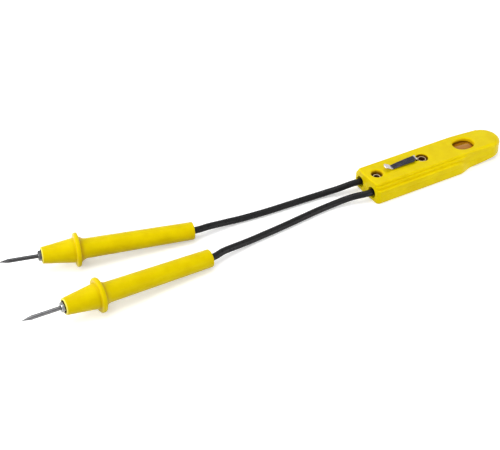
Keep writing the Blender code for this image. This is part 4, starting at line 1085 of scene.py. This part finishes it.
def screw(name, x, seat, top, head, dish, tone):
    """A screw with a dished head and a cross recess in the dish's floor."""
    shank = SHANK_RADIUS
    tip = SCREW_TIP_HEIGHT - seat
    place = Matrix.Translation((x, 0.0, seat))
    corners = [
        (0.0, top - 0.9 * MM, 0.0), (0.8 * dish, top - 0.8 * MM, 0.2 * MM), (dish, top - 0.05 * MM, 0.1 * MM),
        (0.9 * head, top, 0.2 * MM), (head, top - 0.35 * MM, 0.25 * MM), (head, 0.0, 0.1 * MM),
        (shank, 0.0, 0.08 * MM), (shank, THREAD_TOP, 0.0)]
    core = THREAD_CORE * shank
    for i in range(int((THREAD_TOP - tip - 1.0 * MM) / THREAD_PITCH)):
        z = THREAD_TOP - THREAD_PITCH * i
        corners += [(core, z - 0.35 * THREAD_PITCH, 0.0), (core, z - 0.6 * THREAD_PITCH, 0.0),
                    (shank, z - THREAD_PITCH, 0.0)]
    corners += [(0.2 * shank, tip, 0.05 * MM), (0.0, tip, 0.0)]
    body = turned(f"{name}_fine", filleted(corners), place)
    cutters = []
    for turn in range(2):
        arm = block(f"arm_{turn}", (-0.42 * head, -0.12 * head, 0.25 * MM), (0.42 * head, 0.12 * head, 2 * top))
        for vertex in arm.data.vertices:
            if vertex.co.z < top / 2:
                vertex.co.x *= 0.45
                vertex.co.y *= 0.7
        arm.matrix_world = place @ Matrix.Rotation(turn * pi / 2 + RECESS_TURN, 4, "Z")
        cutters.append((arm, CUT))
    apply_cuts(body, cutters, "EXACT")
    finish_piece(body, turned_steel(f"{name}_look", tone, 0.5, None, dish), "screw_steel", name, angle=35)


def window_lens(material):
    """An oval plate under the rear wall, with a long round ridge that stands up into the opening."""
    low = LENS_CEILING - LENS_FLANGE_HEIGHT
    seam = LENS_CEILING + 0.02 * MM
    rings = [oval(LENS_FLANGE - LENS_EDGE, low), oval(LENS_FLANGE, low + LENS_EDGE),
             oval(LENS_FLANGE, LENS_CEILING - LENS_EDGE), oval(LENS_FLANGE - LENS_EDGE, LENS_CEILING)]
    for share in (1.0, 0.97, 0.93, 0.88, 0.82, 0.75, 0.67, 0.58, 0.48, 0.37, 0.25, 0.12, 0.04):
        ring = []
        for x, y, _ in oval(-GAP, 0.0):
            x = WINDOW_X + (x - WINDOW_X) * share
            y *= share
            across = min(abs(y) / LENS_RIDGE_HALF, 1.0)
            along = min(abs(x - WINDOW_X) / (WINDOW_HALF_LENGTH - GAP), 1.0)
            edge = min((1 - share) / 0.12, 1.0)
            rise = sqrt(1 - across**2) * (1 - along**6) * sqrt(edge)
            ring.append((x, y, seam + (LENS_CEILING + LENS_RISE - seam) * rise))
        rings.append(ring)
    lens = stacked("window_lens_fine", rings)
    finish_piece(lens, material, "amber_lens", "window_lens", angle=50)


def neon_lamp(glass, metal):
    """A glass bulb with a drawn tip and a pressed foot; two parallel electrodes stand inside it."""
    end = LAMP_LENGTH
    radius = LAMP_RADIUS
    inside = LAMP_RADIUS - LAMP_WALL
    profile = [(0.0, end), (0.18 * radius, end - 0.05 * MM), (0.36 * radius, end - 0.35 * MM)]
    for angle in quarter(8)[1:]:
        height = end - 0.35 * MM - 1.8 * MM * (1 - cos(angle))
        profile.append((radius * (0.36 + 0.64 * sin(angle)), height))
    profile += [
        (radius, 1.8 * MM), (0.93 * radius, 1.2 * MM), (0.8 * radius, 0.7 * MM), (0.6 * radius, 0.0),
        (0.3 * radius, 0.0), (0.3 * radius, 1.4 * MM), (inside, 2.4 * MM), (inside, end - 2.4 * MM),
        (0.7 * inside, end - 1.5 * MM), (0.0, end - 1.2 * MM)]
    bulb = turned("neon_lamp_fine", profile, along_x(LAMP_REAR_X, 0.0, LAMP_HEIGHT))
    finish_piece(bulb, glass, "lamp_glass", "neon_lamp", angle=40)
    for side, y in (("near", -ELECTRODE_SPACING), ("far", ELECTRODE_SPACING)):
        corners = [
            (0.0, ELECTRODE_TOP, 0.0), (ELECTRODE_RADIUS, ELECTRODE_TOP, 0.12 * MM),
            (ELECTRODE_RADIUS, ELECTRODE_FOOT, 0.12 * MM), (0.0, ELECTRODE_FOOT, 0.0)]
        rod = turned(f"{side}_electrode", filleted(corners), along_x(LAMP_REAR_X, y, LAMP_HEIGHT), 32)
        finish_piece(rod, metal, "tinned_copper", angle=40)


def probe(side, guard, yaw, y, route, pin_painted_tone, collar_painted_tone, rubber):
    """Handle, pin and collar of one probe, and its lead. The two numbers after the route are the pin's and collar's
    tones: the same steel, painted darker on the far probe and lighter on the near one as painted shade and light.
    """
    matrix = probe_matrix(guard, yaw)
    plastic = yellow_plastic(f"{side}_handle_look", 0.6, handle_painted_light, matrix, 0.94)
    pin_steel = turned_steel(f"{side}_pin_look", (pin_painted_tone, pin_painted_tone, 1.03 * pin_painted_tone), 0.2, matrix)
    collar_steel = turned_steel(f"{side}_collar_look", (collar_painted_tone, collar_painted_tone, collar_painted_tone), 0.16, matrix)
    names = [f"{side}_{node}" for node in ("probe_handle", "probe_pin", "pin_collar")]
    pieces = (
        (turned(f"{names[0]}_fine", handle_profile(), None, 128, closed=True), 32, plastic, "yellow_plastic"),
        (turned(f"{names[1]}_fine", pin_profile(), None, 48), 30, pin_steel, "pin_steel"),
        (collar(f"{names[2]}_fine"), 24, collar_steel, "pin_steel"))
    for name, (obj, angle, material, slot) in zip(names, pieces):
        obj.data.transform(matrix)
        finish_piece(obj, material, slot, name, angle=angle)
    lead(side, y, route, matrix, rubber)


def dress_cad(endings, material):
    """Gives its look to each CAD node whose name ends so, and that no finer piece replaces."""
    for name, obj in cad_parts.items():
        if name.endswith(endings):
            obj.data.materials.clear()
            obj.data.materials.append(material)


def floor():
    """A white table top: bright where it is seen, with the object's shadow, and grey as a light on the object."""
    corners = [(x * TABLE_HALF, y * TABLE_HALF, TABLE_Z) for x, y in ((-1, -1), (1, -1), (1, 1), (-1, 1))]
    plane = mesh_object("floor", corners, [(0, 1, 2, 3)])
    s = Shading("floor_white")
    colour = s.ramp(s.noise(60.0, 3.0, 0.5), (0.3, (0.42, 0.42, 0.42)), (0.7, (0.44, 0.44, 0.44)))
    s.set(Base_Color=colour, Roughness=0.9, Specular_IOR_Level=0.0)
    glow = s.calculate("MAXIMUM", s.fade(s.reach(-0.1, 0.0), 0.2, 0.9), 0.3)
    bright = s.node("BsdfPrincipled", {
        "Base Color": (0.99, 0.99, 0.99), "Roughness": 0.9, "Specular IOR Level": 0.0,
        "Emission Color": (1.0, 1.0, 1.0), "Emission Strength": glow})
    mixed = s.node("MixShader", {0: s.seen(), 1: s.shader.outputs[0], 2: bright.outputs[0]})
    s.tree.links.new(mixed.outputs[0], s.tree.nodes["Material Output"].inputs["Surface"])
    plane.data.materials.append(s.material)


def area_light(name, place, target, size, power, size_y=None):
    light = bpy.data.lights.new(name, "AREA")
    light.shape = "RECTANGLE"
    light.size = size
    light.size_y = size_y or size
    light.energy = power
    turn = (Vector(target) - Vector(place)).to_track_quat("-Z", "Y")
    add_object(name, light, Matrix.Translation(place) @ turn.to_matrix().to_4x4())


def lights():
    """Soft area lights, and a world that is white where it is seen and dimmer as a light on the object."""
    world = bpy.data.worlds.new("studio")
    bpy.context.scene.world = world
    world.use_nodes = True
    sky = Nodes(world.node_tree)
    background = sky.tree.nodes["Background"].inputs
    background["Color"].default_value = (1.0, 1.0, 1.0, 1.0)
    strength = sky.node("MapRange", {"Value": sky.seen(), "To Min": WORLD_LIGHT, "To Max": 1.0})
    sky.tree.links.new(strength.outputs[0], background["Strength"])
    for light in LIGHTS:
        area_light(*light)


def camera():
    azimuth, elevation = CAMERA_AZIMUTH, CAMERA_ELEVATION
    back = Vector((
        sin(azimuth) * cos(elevation), -cos(azimuth) * cos(elevation), sin(elevation)))
    data = bpy.data.cameras.new("camera")
    data.lens = CAMERA_LENS
    data.sensor_width = 36.0
    data.sensor_fit = "HORIZONTAL"
    data.clip_start = 0.01
    place = Matrix.Translation(CAMERA_TARGET + back * CAMERA_DISTANCE)
    turn = back.to_track_quat("Z", "Y").to_matrix().to_4x4()
    bpy.context.scene.camera = add_object("camera", data, place @ turn)


bpy.context.scene.view_settings.view_transform = "Standard"

camera()
yellow = yellow_plastic("housing_look", 0.5, housing_painted_shade)
rubber = lead_rubber("lead_rubber_look")
copper = plain_metal("tinned_copper_look", (0.50, 0.42, 0.32), (0.68, 0.62, 0.52), 0.32)

# Same steel on both probes: the far one's metals are painted darker and the near one's lighter, as painted shade and
# light
probe("far", FAR_GUARD, FAR_YAW, LEAD_SPACING, FAR_ROUTE, 0.06, 0.12, rubber)
probe("near", NEAR_GUARD, NEAR_YAW, -LEAD_SPACING, NEAR_ROUTE, 0.15, 0.3, rubber)
rear_shell(yellow)
front_shell(yellow)
pocket_clip(spring_steel("clip_steel_look"))
screw("shell_screw", SHELL_WELL_X, SEAT_Z + GAP,
      SHELL_SCREW_TOP, SHELL_SCREW_HEAD, SHELL_SCREW_DISH, SHELL_SCREW_REFLECTED_TONE)
screw("clip_screw", CLIP_WELL_X, SEAT_Z + 2 * GAP + CLIP_DEPTH,
      CLIP_SCREW_TOP, CLIP_SCREW_HEAD, CLIP_SCREW_DISH, CLIP_SCREW_REFLECTED_SHADED_TONE)
window_lens(lens_painted_amber("amber_lens_look"))
glass = grained("lamp_glass_look", 900.0, ((0.3, (0.86, 0.70, 0.60)), (0.7, (0.93, 0.80, 0.72))),
                ((0.35, 0.03), (0.7, 0.1)), 0.1, 0.00005, Transmission_Weight=0.75, IOR=1.45)
lacquer = grained("resistor_look", 1500.0, ((0.3, (0.26, 0.13, 0.06)), (0.7, (0.38, 0.21, 0.11))),
                  ((0.3, 0.45), (0.7, 0.62)), 0.3, 0.00006)
neon_lamp(glass, copper)
dress_cad(("wire", "splice", "conductor", "crimp_barrel"), copper)
dress_cad("resistor", lacquer)
floor()
lights()
